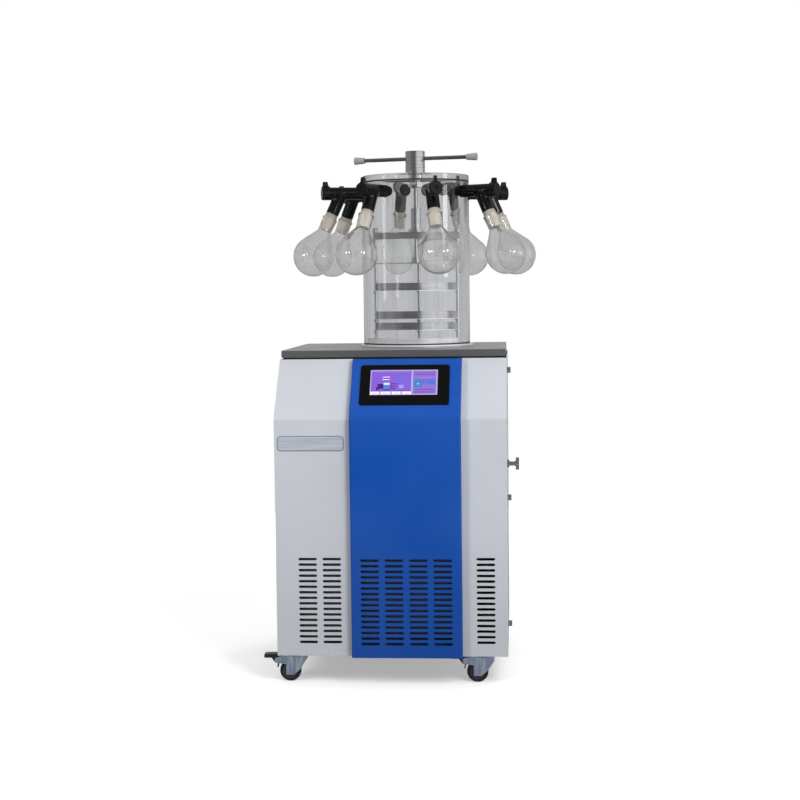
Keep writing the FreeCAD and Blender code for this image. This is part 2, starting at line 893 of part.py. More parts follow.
def hmi_bezel():
    """Touch screen unit: flat bezel on the facet with its case behind."""
    body = new_body("hmi_bezel")
    half_x = size("hmi_width") / 2
    half_y = size("hmi_height") / 2
    margin = size("hmi_case_margin")
    face = rounded_rectangle(-half_x, half_x, -half_y, half_y, size("hmi_corner"))
    pad(body, "XY_Plane", [face], 0, size("hmi_face_thickness"))
    case_x = half_x - margin - size("skin_gap")
    case_y = half_y - margin * 2
    pad(body, "XY_Plane", [rectangle(-case_x, case_x, -case_y, case_y)], -size("hmi_case_depth"),
        size("hmi_case_depth"))
    side = size("screen_shift_side")
    lift = size("screen_shift_up")
    half_w = size("screen_width") / 2
    half_h = size("screen_height") / 2
    window = rectangle(side - half_w, side + half_w, lift - half_h, lift + half_h)
    pocket(body, "XY_Plane", [window], size("hmi_face_thickness") - size("screen_recess"),
           size("screen_recess"))
    back, height = on_facet(size("hmi_rise"))
    return seat(body, size("hmi_centre"), back, height,
                FreeCAD.Rotation(FreeCAD.Vector(1, 0, 0), slope_angle))


def hmi_screen():
    """Glass of the touch screen, lying in the bezel's recess."""
    body = new_body("hmi_screen")
    gap = size("rack_fit")
    half_w = size("screen_width") / 2 - gap
    half_h = size("screen_height") / 2 - gap
    side = size("screen_shift_side")
    lift = size("screen_shift_up")
    pad(body, "XY_Plane", [rectangle(side - half_w, side + half_w, lift - half_h, lift + half_h)],
        size("hmi_face_thickness") - size("screen_recess"), size("screen_thickness"))
    back, height = on_facet(size("hmi_rise"))
    return seat(body, size("hmi_centre"), back, height,
                FreeCAD.Rotation(FreeCAD.Vector(1, 0, 0), slope_angle))


def side_screws():
    """Three thumb screws that hold the right-hand panel to the frame's post."""
    screw = new_body("side_screw_pattern")
    grip = size("side_screw_grip")
    shank = size("side_screw_shank")
    length = size("side_screw_length")
    head = size("side_screw_radius")
    revolve(screw, [(-grip, 0), (length, 0), (length, head), (0, head), (0, shank), (-grip, shank)],
            axis="H_Axis")
    doc.recompute()
    solids = [moved(screw.Shape, half_width, side_screw_back, size(level))
              for level in ("side_screw_low", "side_screw_middle", "side_screw_high")]
    return seat(group("side_screws", solids))


def drain_valve():
    """Drain valve body: stem through the side sheet, lock nut outside, flange inside."""
    body = new_body("drain_valve")
    inside = size("drain_stem_inside")
    nut = size("drain_nut_thickness")
    stem = size("drain_stem_radius")
    nut_radius = size("drain_nut_radius")
    inner_face = -sheet_wall
    bore = size("drain_shank_radius") + size("running_fit")
    end = size("drain_stem_length")
    revolve(body, [
        (-inside, 0), (end - size("drain_shank_length") - size("knob_gap"), 0),
        (end - size("drain_shank_length") - size("knob_gap"), bore), (end, bore), (end, stem),
        (nut, stem), (nut, nut_radius), (0, nut_radius), (0, stem), (inner_face, stem),
        (inner_face, nut_radius), (inner_face - nut, nut_radius), (inner_face - nut, stem),
        (-inside, stem),
    ], axis="H_Axis")
    return seat(body, half_width, drain_valve_back, size("drain_valve_level"))


def drain_knob():
    """Wing knob on the end of the drain valve's stem."""
    body = new_body("drain_knob")
    length = size("drain_knob_length")
    hub = size("drain_hub_radius")
    wing = size("drain_wing_height") / 2
    thick = size("drain_wing_thickness") / 2
    shank = size("drain_shank_radius")
    revolve(body, [(-size("drain_shank_length"), 0), (length, 0), (length, hub), (0, hub), (0, shank),
                   (-size("drain_shank_length"), shank)], axis="H_Axis")
    pad(body, "YZ_Plane", [rectangle(-thick, thick, -wing, wing)], length / 4, length * 3 / 4)
    out = half_width + size("drain_stem_length") + size("knob_gap")
    return seat(body, out, drain_valve_back, size("drain_valve_level"))


# ---------------------------------------------------------------------------------------------
# casters
# ---------------------------------------------------------------------------------------------
CASTERS = {
    "front_left": (size("left_caster_inset") - half_width, size("caster_setback") - half_depth),
    "front_right": (half_width - size("right_caster_inset"), size("caster_setback") - half_depth),
    "rear_left": (size("left_caster_inset") - half_width, half_depth - size("caster_setback")),
    "rear_right": (half_width - size("right_caster_inset"), half_depth - size("caster_setback")),
}
plate_under = base - size("caster_plate_thickness")
race_under = plate_under - size("race_height")
fork_high = race_under - size("caster_gap")
fork_low = fork_high - size("fork_thickness")
axle_level = size("wheel_radius")
arm_inner = size("wheel_width") / 2 + size("arm_gap") + size("caster_gap")


def caster_plates():
    """Top plates with ball race, king pin and bolt heads."""
    plate = new_body("caster_plate_pattern")
    half_x = size("caster_plate_length") / 2
    half_y = size("caster_plate_width") / 2
    pad(plate, "XY_Plane", [rectangle(-half_x, half_x, -half_y, half_y)], plate_under,
        size("caster_plate_thickness"))
    head_top = fork_low - size("caster_gap")
    head_low = head_top - size("kingpin_head_height")
    revolve(plate, [
        (0, head_low), (size("kingpin_head"), head_low), (size("kingpin_head"), head_top),
        (size("kingpin_radius"), head_top), (size("kingpin_radius"), race_under),
        (size("race_radius"), race_under), (size("race_radius"), plate_under), (0, plate_under),
    ])
    inset = size("caster_bolt_inset")
    heads = [(side * (half_x - inset), end * (half_y - inset), size("caster_bolt_radius"))
             for side in (-1, 1) for end in (-1, 1)]
    pad(plate, "XY_Plane", heads, plate_under - size("caster_bolt_height"), size("caster_bolt_height"))
    doc.recompute()
    solids = [moved(plate.Shape, side, back, 0) for side, back in CASTERS.values()]
    return seat(group("caster_plates", solids))


def caster_fork(name, side, back):
    """Pressed fork with its axle bolt; a front fork's arms reach back to carry the brake's pin."""
    body = new_body(f"caster_fork_{name}")
    top = size("fork_top")
    foot = size("fork_foot")
    trail = size("caster_trail")
    arm = size("arm_thickness")
    half_y = arm_inner + arm
    low = axle_level - foot
    pad(body, "XY_Plane", [rectangle(-top, top, -half_y, half_y),
                           (0, 0, size("kingpin_radius") + size("running_fit"))],
        fork_low, size("fork_thickness"))
    shoulder = fork_low - size("fork_shoulder")
    if name.startswith("front"):
        lug = size("brake_lug")
        pivot_x = -size("brake_pivot_out")
        pivot_z = size("brake_pivot_level")
        tail = [(-trail - foot, shoulder - lug), (pivot_x - lug, pivot_z - lug),
                (pivot_x - lug, pivot_z + lug)]
    else:
        tail = [(-trail - foot, shoulder), (-top, shoulder + size("fork_shoulder") / 2)]
    waist = axle_level + (shoulder - axle_level) / 4
    outline = [(-top, fork_high), (top, fork_high), (top, fork_low - size("fork_shoulder") / 2),
               (top / 2, waist), (-trail + foot, low), (-trail - foot, low)]
    for start in (-half_y, arm_inner):
        pad(body, "XZ_Plane", [outline + tail], start, arm)
    axle = size("axle_radius")
    reach = half_y + size("axle_nut_thickness")
    pad(body, "XZ_Plane", [(-trail, axle_level, axle)], -half_y, half_y * 2)
    for start in (-reach, half_y):
        pad(body, "XZ_Plane", [(-trail, axle_level, size("axle_nut_radius"))], start,
            size("axle_nut_thickness"))
    if name.startswith("front"):
        pad(body, "XZ_Plane", [(pivot_x, pivot_z, size("brake_pin_radius"))], -half_y, half_y * 2)
    return seat(body, side, back)


def caster_wheel(name, side, back):
    """Moulded wheel: rounded tyre, thinner web and a hub that runs on the axle."""
    body = new_body(f"caster_wheel_{name}")
    outer = size("wheel_radius")
    edge = size("wheel_edge")
    half = size("wheel_width") / 2
    web = size("wheel_web") / 2
    rim = outer - size("tyre_depth")
    boss = size("wheel_boss_radius")
    bore = size("axle_radius") + size("running_fit")
    hub = half + size("arm_gap")
    side_view = [
        (-hub, bore), (hub, bore), (hub, boss), (web, boss), (web, rim), (half, rim),
        (half, outer - edge), (half - edge, outer), (-half + edge, outer), (-half, outer - edge),
        (-half, rim), (-web, rim), (-web, boss), (-hub, boss),
    ]
    revolve(body, side_view, axis="H_Axis", role="YZ_Plane")
    return seat(body, side - size("caster_trail"), back, axle_level)


def caster_brake(name, side, back):
    """Brake pedal that turns on the pin between the fork's arms."""
    body = new_body(f"caster_brake_{name}")
    pivot_x = -size("brake_pivot_out")
    pivot_z = size("brake_pivot_level")
    lug = size("brake_lug")
    tip = -size("brake_tip")
    half_y = arm_inner - size("brake_gap")
    tip_low = size("brake_tip_level")
    crown = size("brake_crown_level")
    outline = [
        (pivot_x - lug, pivot_z - lug), (pivot_x + lug, pivot_z - lug / 2),
        (pivot_x + lug, crown - lug / 2), (pivot_x + lug / 2, crown), (pivot_x, crown),
        (tip, tip_low + size("brake_tip_thickness")), (tip, tip_low), (pivot_x - lug * 2.5, tip_low),
    ]
    bore = (pivot_x, pivot_z, size("brake_pin_radius") + size("running_fit"))
    pad(body, "XZ_Plane", [outline, bore], -half_y, half_y * 2)
    heel = [(pivot_x + lug / 2, pivot_z - lug / 2), (pivot_x, pivot_z - lug / 2),
            (pivot_x - lug / 2, pivot_z - lug * 3), (pivot_x, pivot_z - lug * 3)]
    pad(body, "XZ_Plane", [heel], -half_y / 2, half_y)
    return seat(body, side, back)


# ---------------------------------------------------------------------------------------------
# cold trap and chamber, all turned about the chamber's axis
# ---------------------------------------------------------------------------------------------
lip_top = counter + size("trap_wall")
flange_top = lip_top + size("flange_thickness")
cylinder_low = flange_top + size("gasket_thickness")
lid_top = counter + size("chamber_height")
lid_low = lid_top - size("lid_thickness")
cylinder_top = lid_low - size("gasket_thickness")
chamber_inner = size("chamber_radius") - size("chamber_wall")
collar_outer = chamber_inner - size("collar_gap")
collar_inner = collar_outer - size("collar_wall")
trap_low = counter - size("trap_depth")


def on_axis(body):
    return seat(body, axis_side, axis_back, 0)


def cold_trap():
    """Stainless bowl hung by its lip, with a drain stub under it."""
    body = new_body("cold_trap")
    outer = size("trap_radius")
    wall = size("trap_wall")
    corner = size("trap_corner")
    stub = trap_low - size("trap_drain_length")
    revolve(body, [
        (size("trap_drain_bore"), stub), (size("trap_drain_radius"), stub),
        (size("trap_drain_radius"), trap_low), (outer - corner, trap_low, corner),
        (outer, trap_low + corner), (outer, counter), (size("flange_radius"), counter),
        (size("flange_radius"), lip_top), (outer - wall, lip_top),
        (outer - wall, trap_low + corner), (outer - corner, trap_low + wall),
        (size("trap_drain_bore"), trap_low + wall),
    ])
    return on_axis(body)


def trap_flange():
    """Turned stainless ring with a raised collar that centres the chamber."""
    body = new_body("trap_flange")
    collar_top = counter + size("collar_height")
    revolve(body, [
        (collar_inner, lip_top), (size("flange_radius"), lip_top), (size("flange_radius"), flange_top),
        (collar_outer, flange_top), (collar_outer, collar_top), (collar_inner, collar_top),
    ])
    return on_axis(body)


def chamber_gaskets():
    """Flat rubber rings under and over the cylinder."""
    solids = []
    for low in (flange_top, cylinder_top):
        ring = Part.makeCylinder(float(size("chamber_radius")), float(size("gasket_thickness")))
        ring = ring.cut(Part.makeCylinder(float(chamber_inner), float(size("gasket_thickness"))))
        solids.append(moved(ring, axis_side, axis_back, low))
    return seat(group("chamber_gaskets", solids))


def chamber_cylinder():
    """Clear cylinder with a ring of round ports."""
    body = new_body("chamber_cylinder")
    revolve(body, rectangle(chamber_inner, size("chamber_radius"), cylinder_low, cylinder_top))
    hole = (0, port_height, size("valve_neck_radius") + size("rack_fit"))
    port = pocket(body, "XZ_Plane", [hole], 0, size("chamber_radius") + size("chamber_wall"), down=True)
    turn_pattern(body, port, size("port_count"))
    return seat(body, axis_side, axis_back, 0, about_z(size("port_phase")))


def chamber_lid():
    """Clear disc with a spigot that drops into the cylinder and a bore for the press spindle."""
    body = new_body("chamber_lid")
    spigot = lid_low - size("lid_spigot")
    bore = size("spindle_radius") + size("running_fit")
    revolve(body, [
        (bore, spigot), (collar_outer, spigot), (collar_outer, lid_low),
        (size("chamber_radius"), lid_low), (size("chamber_radius"), lid_top), (bore, lid_top),
    ])
    return on_axis(body)


def evaporator_coil():
    """Copper tube round the bowl: parallel turns joined by one upright header."""
    turns = []
    ring = size("trap_radius") + size("coil_gap") + size("coil_tube_radius")
    first = trap_low + size("coil_start")
    for number in range(SIZES["coil_rings"]):
        turn = doc.addObject("Part::Torus", f"coil_turn_{number + 1}")
        bind(turn, "Radius1", ring)
        bind(turn, "Radius2", size("coil_tube_radius"))
        bind(turn, "Placement.Base.z", first + size("coil_pitch") * number)
        turns.append(turn)
    header = doc.addObject("Part::Cylinder", "coil_header")
    bind(header, "Radius", size("coil_tube_radius") - size("coil_gap"))
    bind(header, "Height", size("coil_pitch") * (size("coil_rings") - 1))
    bind(header, "Placement.Base.x", ring + size("coil_gap") / 2)
    bind(header, "Placement.Base.z", first)
    coil = doc.addObject("Part::MultiFuse", "evaporator_coil")
    coil.Shapes = turns + [header]
    coil.Label = "evaporator_coil"
    return on_axis(coil)


def trap_insulation():
    """Foam jacket glued under the countertop, closed below but for the drain."""
    body = new_body("trap_insulation")
    floor = trap_low - size("insulation_gap")
    low = floor - size("insulation_floor")
    hole = size("trap_drain_radius") + size("guide_gap")
    revolve(body, [
        (hole, low), (size("insulation_radius"), low), (size("insulation_radius"), counter_under),
        (size("insulation_inner"), counter_under), (size("insulation_inner"), floor), (hole, floor),
    ])
    return on_axis(body)


# ---------------------------------------------------------------------------------------------
# press
# ---------------------------------------------------------------------------------------------
head_low = lid_top + size("head_seat_gap")
head_top = lid_top + size("head_height")
bar_level = head_top - size("bar_drop")
nut_top = lid_low - size("lid_spigot") - size("head_seat_gap")
nut_low = nut_top - size("spindle_nut_thickness")
rod_top = bar_level - size("bar_radius") - size("rod_head_room")
press_top = counter + size("press_plate_level")
press_low = press_top - size("press_plate_thickness")
plate_low = counter + size("rack_plate_level")
plate_top = plate_low + size("rack_plate_thickness")


def press_head():
    """Turning head of the press: hub above the lid, spindle through it, threaded for the rod."""
    body = new_body("press_head")
    radius = size("head_radius")
    chamfer = size("head_chamfer")
    spindle = size("spindle_radius")
    bore = size("rod_radius") + size("running_fit")
    end = nut_low - size("spindle_end") / 4
    ceiling = rod_top + size("rod_head_room") / 2
    revolve(body, [
        (bore, end), (spindle, end), (spindle, head_low), (radius, head_low),
        (radius, head_top - chamfer), (radius - chamfer, head_top), (0, head_top),
        (0, ceiling), (bore, ceiling),
    ])
    cross = (0, bar_level, size("bar_radius") + size("running_fit"))
    pocket(body, "YZ_Plane", [cross], -radius * 2, radius * 4)
    return seat(body, axis_side, axis_back, 0, about_z(size("bar_turn")))


def spindle_nut():
    """Hexagon nut that keeps the spindle in the lid."""
    body = new_body("spindle_nut")
    reach = size("spindle_nut_radius")
    corners = [(reach * cosine(as_size(60 * n)), reach * sine(as_size(60 * n))) for n in range(6)]
    pad(body, "XY_Plane", [corners, (0, 0, size("spindle_radius"))], nut_low,
        size("spindle_nut_thickness"))
    return seat(body, axis_side, axis_back, 0, about_z(size("bar_turn")))


def t_bar():
    body = new_body("t_bar")
    half = size("bar_length") / 2 - size("bar_end_wall")
    radius = size("bar_radius")
    revolve(body, [(-half, 0), (half, 0), (half, radius), (-half, radius)], axis="H_Axis")
    return seat(body, axis_side, axis_back, bar_level, about_z(size("bar_turn")))


def t_bar_caps():
    """Two tapered plastic grips pushed over the bar's ends."""
    cap = new_body("t_bar_cap_pattern")
    end = size("bar_length") / 2
    start = end - size("cap_length")
    seat_end = end - size("bar_end_wall")
    bore = size("bar_radius") + size("running_fit")
    revolve(cap, [
        (start, bore), (seat_end, bore), (seat_end, 0), (end, 0),
        (end, size("cap_outer_radius")), (start, size("cap_inner_radius")),
    ], axis="H_Axis")
    doc.recompute()
    solids = [moved(cap.Shape, axis_side, axis_back, bar_level, about_z(SIZES["bar_turn"] + half_turn))
              for half_turn in (0, 180)]
    return seat(group("t_bar_caps", solids))


def press_rod():
    body = new_body("press_rod")
    revolve(body, rectangle(as_size(0), size("rod_radius"), press_low, rod_top))
    return on_axis(body)


def rod_circle(radius):
    """Three rack rods: left, right and behind the axis."""
    reach = size("rack_rod_circle")
    return [(-reach, 0, radius), (reach, 0, radius), (0, reach, radius)]


def press_plate():
    """Thin plate that the rod drives down the rack's rods."""
    body = new_body("press_plate")
    hole = (0, 0, size("rod_radius"))
    guides = rod_circle(size("rack_rod_radius") + size("guide_gap"))
    pad(body, "XY_Plane", [(0, 0, size("press_plate_radius"))], press_low, size("press_plate_thickness"))
    pad(body, "XY_Plane", [(0, 0, size("press_boss_radius"))], press_top, size("press_boss_height"))
    pocket(body, "XY_Plane", [hole] + guides, press_low,
           size("press_plate_thickness") + size("press_boss_height"))
    return on_axis(body)


def guide_sleeve():
    """Flanged sleeve on the rack's top plate that steadies the rod."""
    body = new_body("guide_sleeve")
    bore = size("rod_radius") + size("running_fit")
    flange = plate_top + size("sleeve_flange_thickness")
    top = plate_top + size("sleeve_height")
    revolve(body, [
        (bore, plate_top), (size("sleeve_flange_radius"), plate_top),
        (size("sleeve_flange_radius"), flange), (size("sleeve_radius"), flange),
        (size("sleeve_radius"), top), (bore, top),
    ])
    return on_axis(body)


# ---------------------------------------------------------------------------------------------
# rack
# ---------------------------------------------------------------------------------------------
TRAY_LEVELS = ("low_tray_level", "middle_tray_level", "high_tray_level")


def plate_on_rods(label, radius, low, thickness, centre_hole):
    body = new_body(label)
    holes = rod_circle(size("rack_rod_radius") + size("rack_fit"))
    if centre_hole is not None:
        holes.append((0, 0, centre_hole))
    pad(body, "XY_Plane", [(0, 0, radius)] + holes, low, thickness)
    return body


def rack_base():
    """Flat ring that stands on the cold trap's lip inside the collar."""
    body = new_body("rack_base")
    outer = collar_inner - size("rack_base_gap")
    revolve(body, rectangle(outer - size("rack_base_width"), outer, lip_top,
                            lip_top + size("rack_base_thickness")))
    return on_axis(body)


def rack_rods():
    """Three rods with shelf collars and acorn nuts."""
    rod = new_body("rack_rod_pattern")
    radius = size("rack_rod_radius")
    low = lip_top + size("rack_base_thickness")
    acorn = size("acorn_radius")
    acorn_top = plate_top + size("acorn_height")
    collar = size("shelf_collar_radius")
    outline = [(as_size(0), low), (radius, low)]
    for level in TRAY_LEVELS:
        shelf = counter + size(level) - size("shelf_thickness")
        outline += [(radius, shelf - size("shelf_collar_height")),
                    (collar, shelf - size("shelf_collar_height")), (collar, shelf), (radius, shelf)]
    outline += [(radius, plate_low - size("shelf_collar_height")),
                (collar, plate_low - size("shelf_collar_height")), (collar, plate_low),
                (radius, plate_low)]
    outline += [(radius, plate_top), (acorn, plate_top), (acorn, acorn_top - acorn, acorn),
                (as_size(0), acorn_top)]
    revolve(rod, outline)
    doc.recompute()
    solids = [moved(rod.Shape, axis_side + x, axis_back + y, 0)
              for x, y, hole in rod_circle(radius)]
    return seat(group("rack_rods", solids))


def rack_top_plate():
    body = plate_on_rods("rack_top_plate", size("rack_plate_radius"), plate_low,
                         size("rack_plate_thickness"), size("rod_radius") + size("guide_gap"))
    return on_axis(body)


def rack_shelves():
    """Three thin shelves, each standing on the rods' collars."""
    solids = []
    for level in TRAY_LEVELS:
        low = counter + size(level) - size("shelf_thickness")
        shelf = plate_on_rods(f"shelf_pattern_{level}", size("shelf_radius"), low,
                              size("shelf_thickness"), None)
        doc.recompute()
        solids.append(moved(shelf.Shape, axis_side, axis_back, 0))
    return seat(group("rack_shelves", solids))


def sample_trays():
    """Three shallow round trays, one on each shelf."""
    tray = new_body("tray_pattern")
    radius = size("tray_radius")
    wall = size("tray_wall")
    height = size("tray_height")
    revolve(tray, [
        (as_size(0), 0), (radius, 0), (radius, height), (radius - wall, height),
        (radius - wall, wall), (as_size(0), wall),
    ])
    doc.recompute()
    solids = [moved(tray.Shape, axis_side, axis_back, counter + size(level)) for level in TRAY_LEVELS]
    return seat(group("sample_trays", solids))


# ---------------------------------------------------------------------------------------------
# valves, stoppers and flasks
# ---------------------------------------------------------------------------------------------
def round_the_chamber(shape, out, tilt=0):
    """Copies of a shape at every port, pushed out from the axis and leaning back by tilt."""
    lean = FreeCAD.Rotation(FreeCAD.Vector(1, 0, 0), -float(tilt))
    copies = []
    for angle in ports:
        turn = about_z(angle)
        arm = turn.multVec(FreeCAD.Vector(0, -float(out), 0))
        copies.append(moved(shape, float(axis_side) + arm.x, float(axis_back) + arm.y, port_height,
                            turn.multiply(lean)))
    return copies


def valve_bodies():
    """Rubber valve bodies: barrel plugged through the wall and a leg that leans outwards."""
    valve = new_body("valve_body_pattern")
    neck = size("valve_neck_radius")
    barrel = size("valve_radius")
    start = size("chamber_radius") + size("valve_seat_gap")
    lip_out = chamber_inner - size("valve_lip_gap")
    lip_in = lip_out - size("valve_lip_thickness")
    reach = size("valve_reach")
    revolve(valve, [
        (-reach, 0), (-lip_in, 0), (-lip_in, size("valve_lip_radius")),
        (-lip_out, size("valve_lip_radius")), (-lip_out, neck), (-start, neck), (-start, barrel),
        (-reach, barrel),
    ], axis="H_Axis", role="YZ_Plane")
    foot = (as_size(0), -size("leg_root"), as_size(0))
    pad(valve, "XY_Plane", [(0, 0, size("leg_radius"))], 0, size("leg_length"),
        tilt=-SIZES["leg_tilt"], base=foot, down=True)
    groove(valve, rectangle(-reach, -lip_in, as_size(0), size("valve_bore")),
           axis="H_Axis", role="YZ_Plane")
    pocket(valve, "XY_Plane", [(0, 0, size("leg_bore"))], 0, size("leg_length"),
           tilt=-SIZES["leg_tilt"], base=foot, down=True)
    doc.recompute()
    return seat(group("valve_bodies", round_the_chamber(valve.Shape, 0)))


def valve_knob(number, angle):
    """Quarter-turn plug with a round cap and one upright fin."""
    body = new_body(f"valve_knob_{number}")
    cap = size("valve_reach") + size("knob_gap")
    end = cap + size("knob_length")
    shank = size("valve_bore") - size("running_fit")
    radius = size("knob_radius")
    chamfer = size("head_chamfer")
    dimple = size("knob_dimple_radius")
    deep = -end + size("knob_dimple_depth")
    revolve(body, [
        (deep, 0), (-cap + size("knob_shank"), 0), (-cap + size("knob_shank"), shank), (-cap, shank),
        (-cap, radius), (-end + chamfer, radius), (-end, radius - chamfer), (-end, dimple),
        (deep, dimple),
    ], axis="H_Axis", role="YZ_Plane")
    middle = cap + size("knob_length") / 2
    foot = size("fin_foot") / 2
    tip = size("fin_tip") / 2
    shift = (size("fin_foot") - size("fin_tip")) / 4
    fin = [(-middle - foot, radius / 2), (-middle + foot, radius / 2),
           (-middle + tip - shift, size("fin_height")), (-middle - tip - shift, size("fin_height"))]
    pad(body, "YZ_Plane", [fin], -size("fin_thickness") / 2, size("fin_thickness"))
    return seat(body, axis_side, axis_back, port_height, about_z(angle))


def flask_stoppers():
    """Tapered silicone stoppers with a bore, one under each valve's leg."""
    stopper = new_body("stopper_pattern")
    top = -size("leg_length")
    rim = -rim_distance
    end = top - size("stopper_length")
    bore = size("leg_bore")
    revolve(stopper, [
        (bore, end), (size("stopper_end_radius"), end), (size("stopper_shoulder_radius"), rim),
        (size("stopper_radius"), top - size("stopper_neck")), (size("stopper_radius"), top),
        (bore, top),
    ])
    doc.recompute()
    solids = round_the_chamber(stopper.Shape, size("leg_root"), SIZES["leg_tilt"])
    return seat(group("flask_stoppers", solids))


def tangent_point(neck_radius, neck_rise, bulb_radius):
    """Where a straight shoulder from the neck touches the bulb, counted from the bulb's centre."""
    reach = neck_radius * neck_radius + neck_rise * neck_rise
    along = bulb_radius * bulb_radius / reach
    across = bulb_radius * root(reach - bulb_radius * bulb_radius) / reach
    return (neck_radius * along + neck_rise * across, neck_rise * along - neck_radius * across)


def flasks():
    """Pear-shaped glass flasks, pushed over the stoppers."""
    flask = new_body("flask_pattern")
    wall = size("flask_wall")
    rim = -rim_distance
    centre = -bulb_distance
    neck_end = rim - size("flask_neck_length")
    rise = neck_end - centre
    bulb = size("flask_bulb_radius")
    neck = size("flask_neck_radius")
    outer_x, outer_y = tangent_point(neck, rise, bulb)
    inner_x, inner_y = tangent_point(neck - wall, rise, bulb - wall)
    stopper_slope = (size("stopper_shoulder_radius") - size("stopper_end_radius")) / (
        size("stopper_length") - size("stopper_free"))
    mouth = size("stopper_shoulder_radius") + size("flask_fit")
    seat_end = rim - (size("stopper_length") - size("stopper_free"))
    seat_radius = mouth - stopper_slope * (size("stopper_length") - size("stopper_free"))
    revolve(flask, [
        (as_size(0), centre - bulb, bulb), (outer_x, centre + outer_y), (neck, neck_end),
        (size("flask_rim_radius"), rim), (mouth, rim), (seat_radius, seat_end),
        (neck - wall, neck_end), (inner_x, centre + inner_y, wall - bulb),
        (as_size(0), centre - bulb + wall),
    ])
    return flask


def flask_group():
    flask = flasks()
    doc.recompute()
    solids = round_the_chamber(flask.Shape, size("leg_root"), SIZES["leg_tilt"])
    return seat(group("flasks", solids))


# ---------------------------------------------------------------------------------------------
# refrigeration set and electrics inside the cabinet
# ---------------------------------------------------------------------------------------------
def compressor():
    """Hermetic compressor can on a pressed foot plate with four rubber feet."""
    body = new_body("compressor")
    foot = size("compressor_foot_height")
    plate_top = foot + size("compressor_plate_thickness")
    radius = size("compressor_radius")
    dome = size("compressor_dome")
    can_top = plate_top + size("compressor_height")
    half_x = size("compressor_plate_length") / 2
    half_y = size("compressor_plate_width") / 2
    foot_radius = size("compressor_foot_radius")
    pad(body, "XY_Plane", [rectangle(-half_x, half_x, -half_y, half_y)], foot,
        size("compressor_plate_thickness"))
    feet = [(side * (half_x - foot_radius), end * (half_y - foot_radius), foot_radius)
            for side in (-1, 1) for end in (-1, 1)]
    pad(body, "XY_Plane", feet, 0, foot)
    revolve(body, [
        (0, plate_top), (radius - dome, plate_top, dome), (radius, plate_top + dome),
        (radius, can_top - dome, dome), (radius - dome, can_top), (0, can_top),
    ])
    return seat(body, size("compressor_side"), size("compressor_back"), floor_top)


condenser_front = front + size("condenser_setback")
condenser_back = condenser_front + size("condenser_depth")
shroud_back = condenser_back + size("shroud_depth")


def condenser():
    """Fin block with the fan's shroud behind it, and the fan motor on two crossed straps."""
    body = new_body("condenser")
    half = size("condenser_width") / 2
    top = size("condenser_top")
    level = size("fan_level")
    block = rectangle(-half, half, floor_top, top)
    pad(body, "XZ_Plane", [block], condenser_front, size("condenser_depth"))
    shroud = rectangle(-half, half, floor_top, top)
    pad(body, "XZ_Plane", [shroud, (0, level, size("fan_opening"))], condenser_back,
        size("shroud_depth"))
    strap = size("bracket_width") / 2
    strap_back = shroud_back + size("bracket_thickness")
    reach = size("fan_opening") + strap
    flat = rectangle(-reach, reach, level - strap, level + strap)
    pad(body, "XZ_Plane", [flat], shroud_back, size("bracket_thickness"))
    upright = rectangle(-strap, strap, level - reach, level + reach)
    pad(body, "XZ_Plane", [upright], shroud_back, size("bracket_thickness"))
    pad(body, "XZ_Plane", [(0, level, size("motor_radius"))], strap_back, size("motor_length"))
    shaft = size("shroud_depth") * 3 / 4
    pad(body, "XZ_Plane", [(0, level, size("motor_shaft_radius"))], shroud_back - shaft, shaft)
    return seat(body, size("condenser_centre"))


def fan_rotor():
    """Axial fan with flat pitched blades."""
    body = new_body("fan_rotor")
    hub = size("fan_hub_radius")
    half = size("fan_hub_length") / 2
    bore = size("motor_shaft_radius") + size("running_fit")
    revolve(body, rectangle(bore, hub, -half, half))
    pitch = size("fan_blade_pitch")
    along_x = size("fan_blade_chord") / 2 * cosine(pitch)
    along_z = size("fan_blade_chord") / 2 * sine(pitch)
    thick_x = size("fan_blade_thickness") / 2 * sine(pitch)
    thick_z = size("fan_blade_thickness") / 2 * cosine(pitch)
    section = [
        (-along_x + thick_x, -along_z - thick_z), (along_x + thick_x, along_z - thick_z),
        (along_x - thick_x, along_z + thick_z), (-along_x - thick_x, -along_z + thick_z),
    ]
    inner = hub * 0.75
    blade = pad(body, "XZ_Plane", [section], inner, size("fan_radius") - inner)
    turn_pattern(body, blade, size("fan_blades"))
    middle = (condenser_back + shroud_back) / 2
    return seat(body, size("condenser_centre"), middle, size("fan_level"),
                FreeCAD.Rotation(FreeCAD.Vector(1, 0, 0), 90))


def control_box():
    """Case with the control boards, hung under the countertop beside the left-hand hoop."""
    body = new_body("control_box")
    low = half_width - size("frame_inset") - size("frame_tube")
    front_y = size("control_box_front")
    case = rectangle(-low, -low + size("control_box_width"), front_y,
                     front_y + size("control_box_depth"))
    pad(body, "XY_Plane", [case], counter_under - size("control_box_height"),
        size("control_box_height"))
    return seat(body)


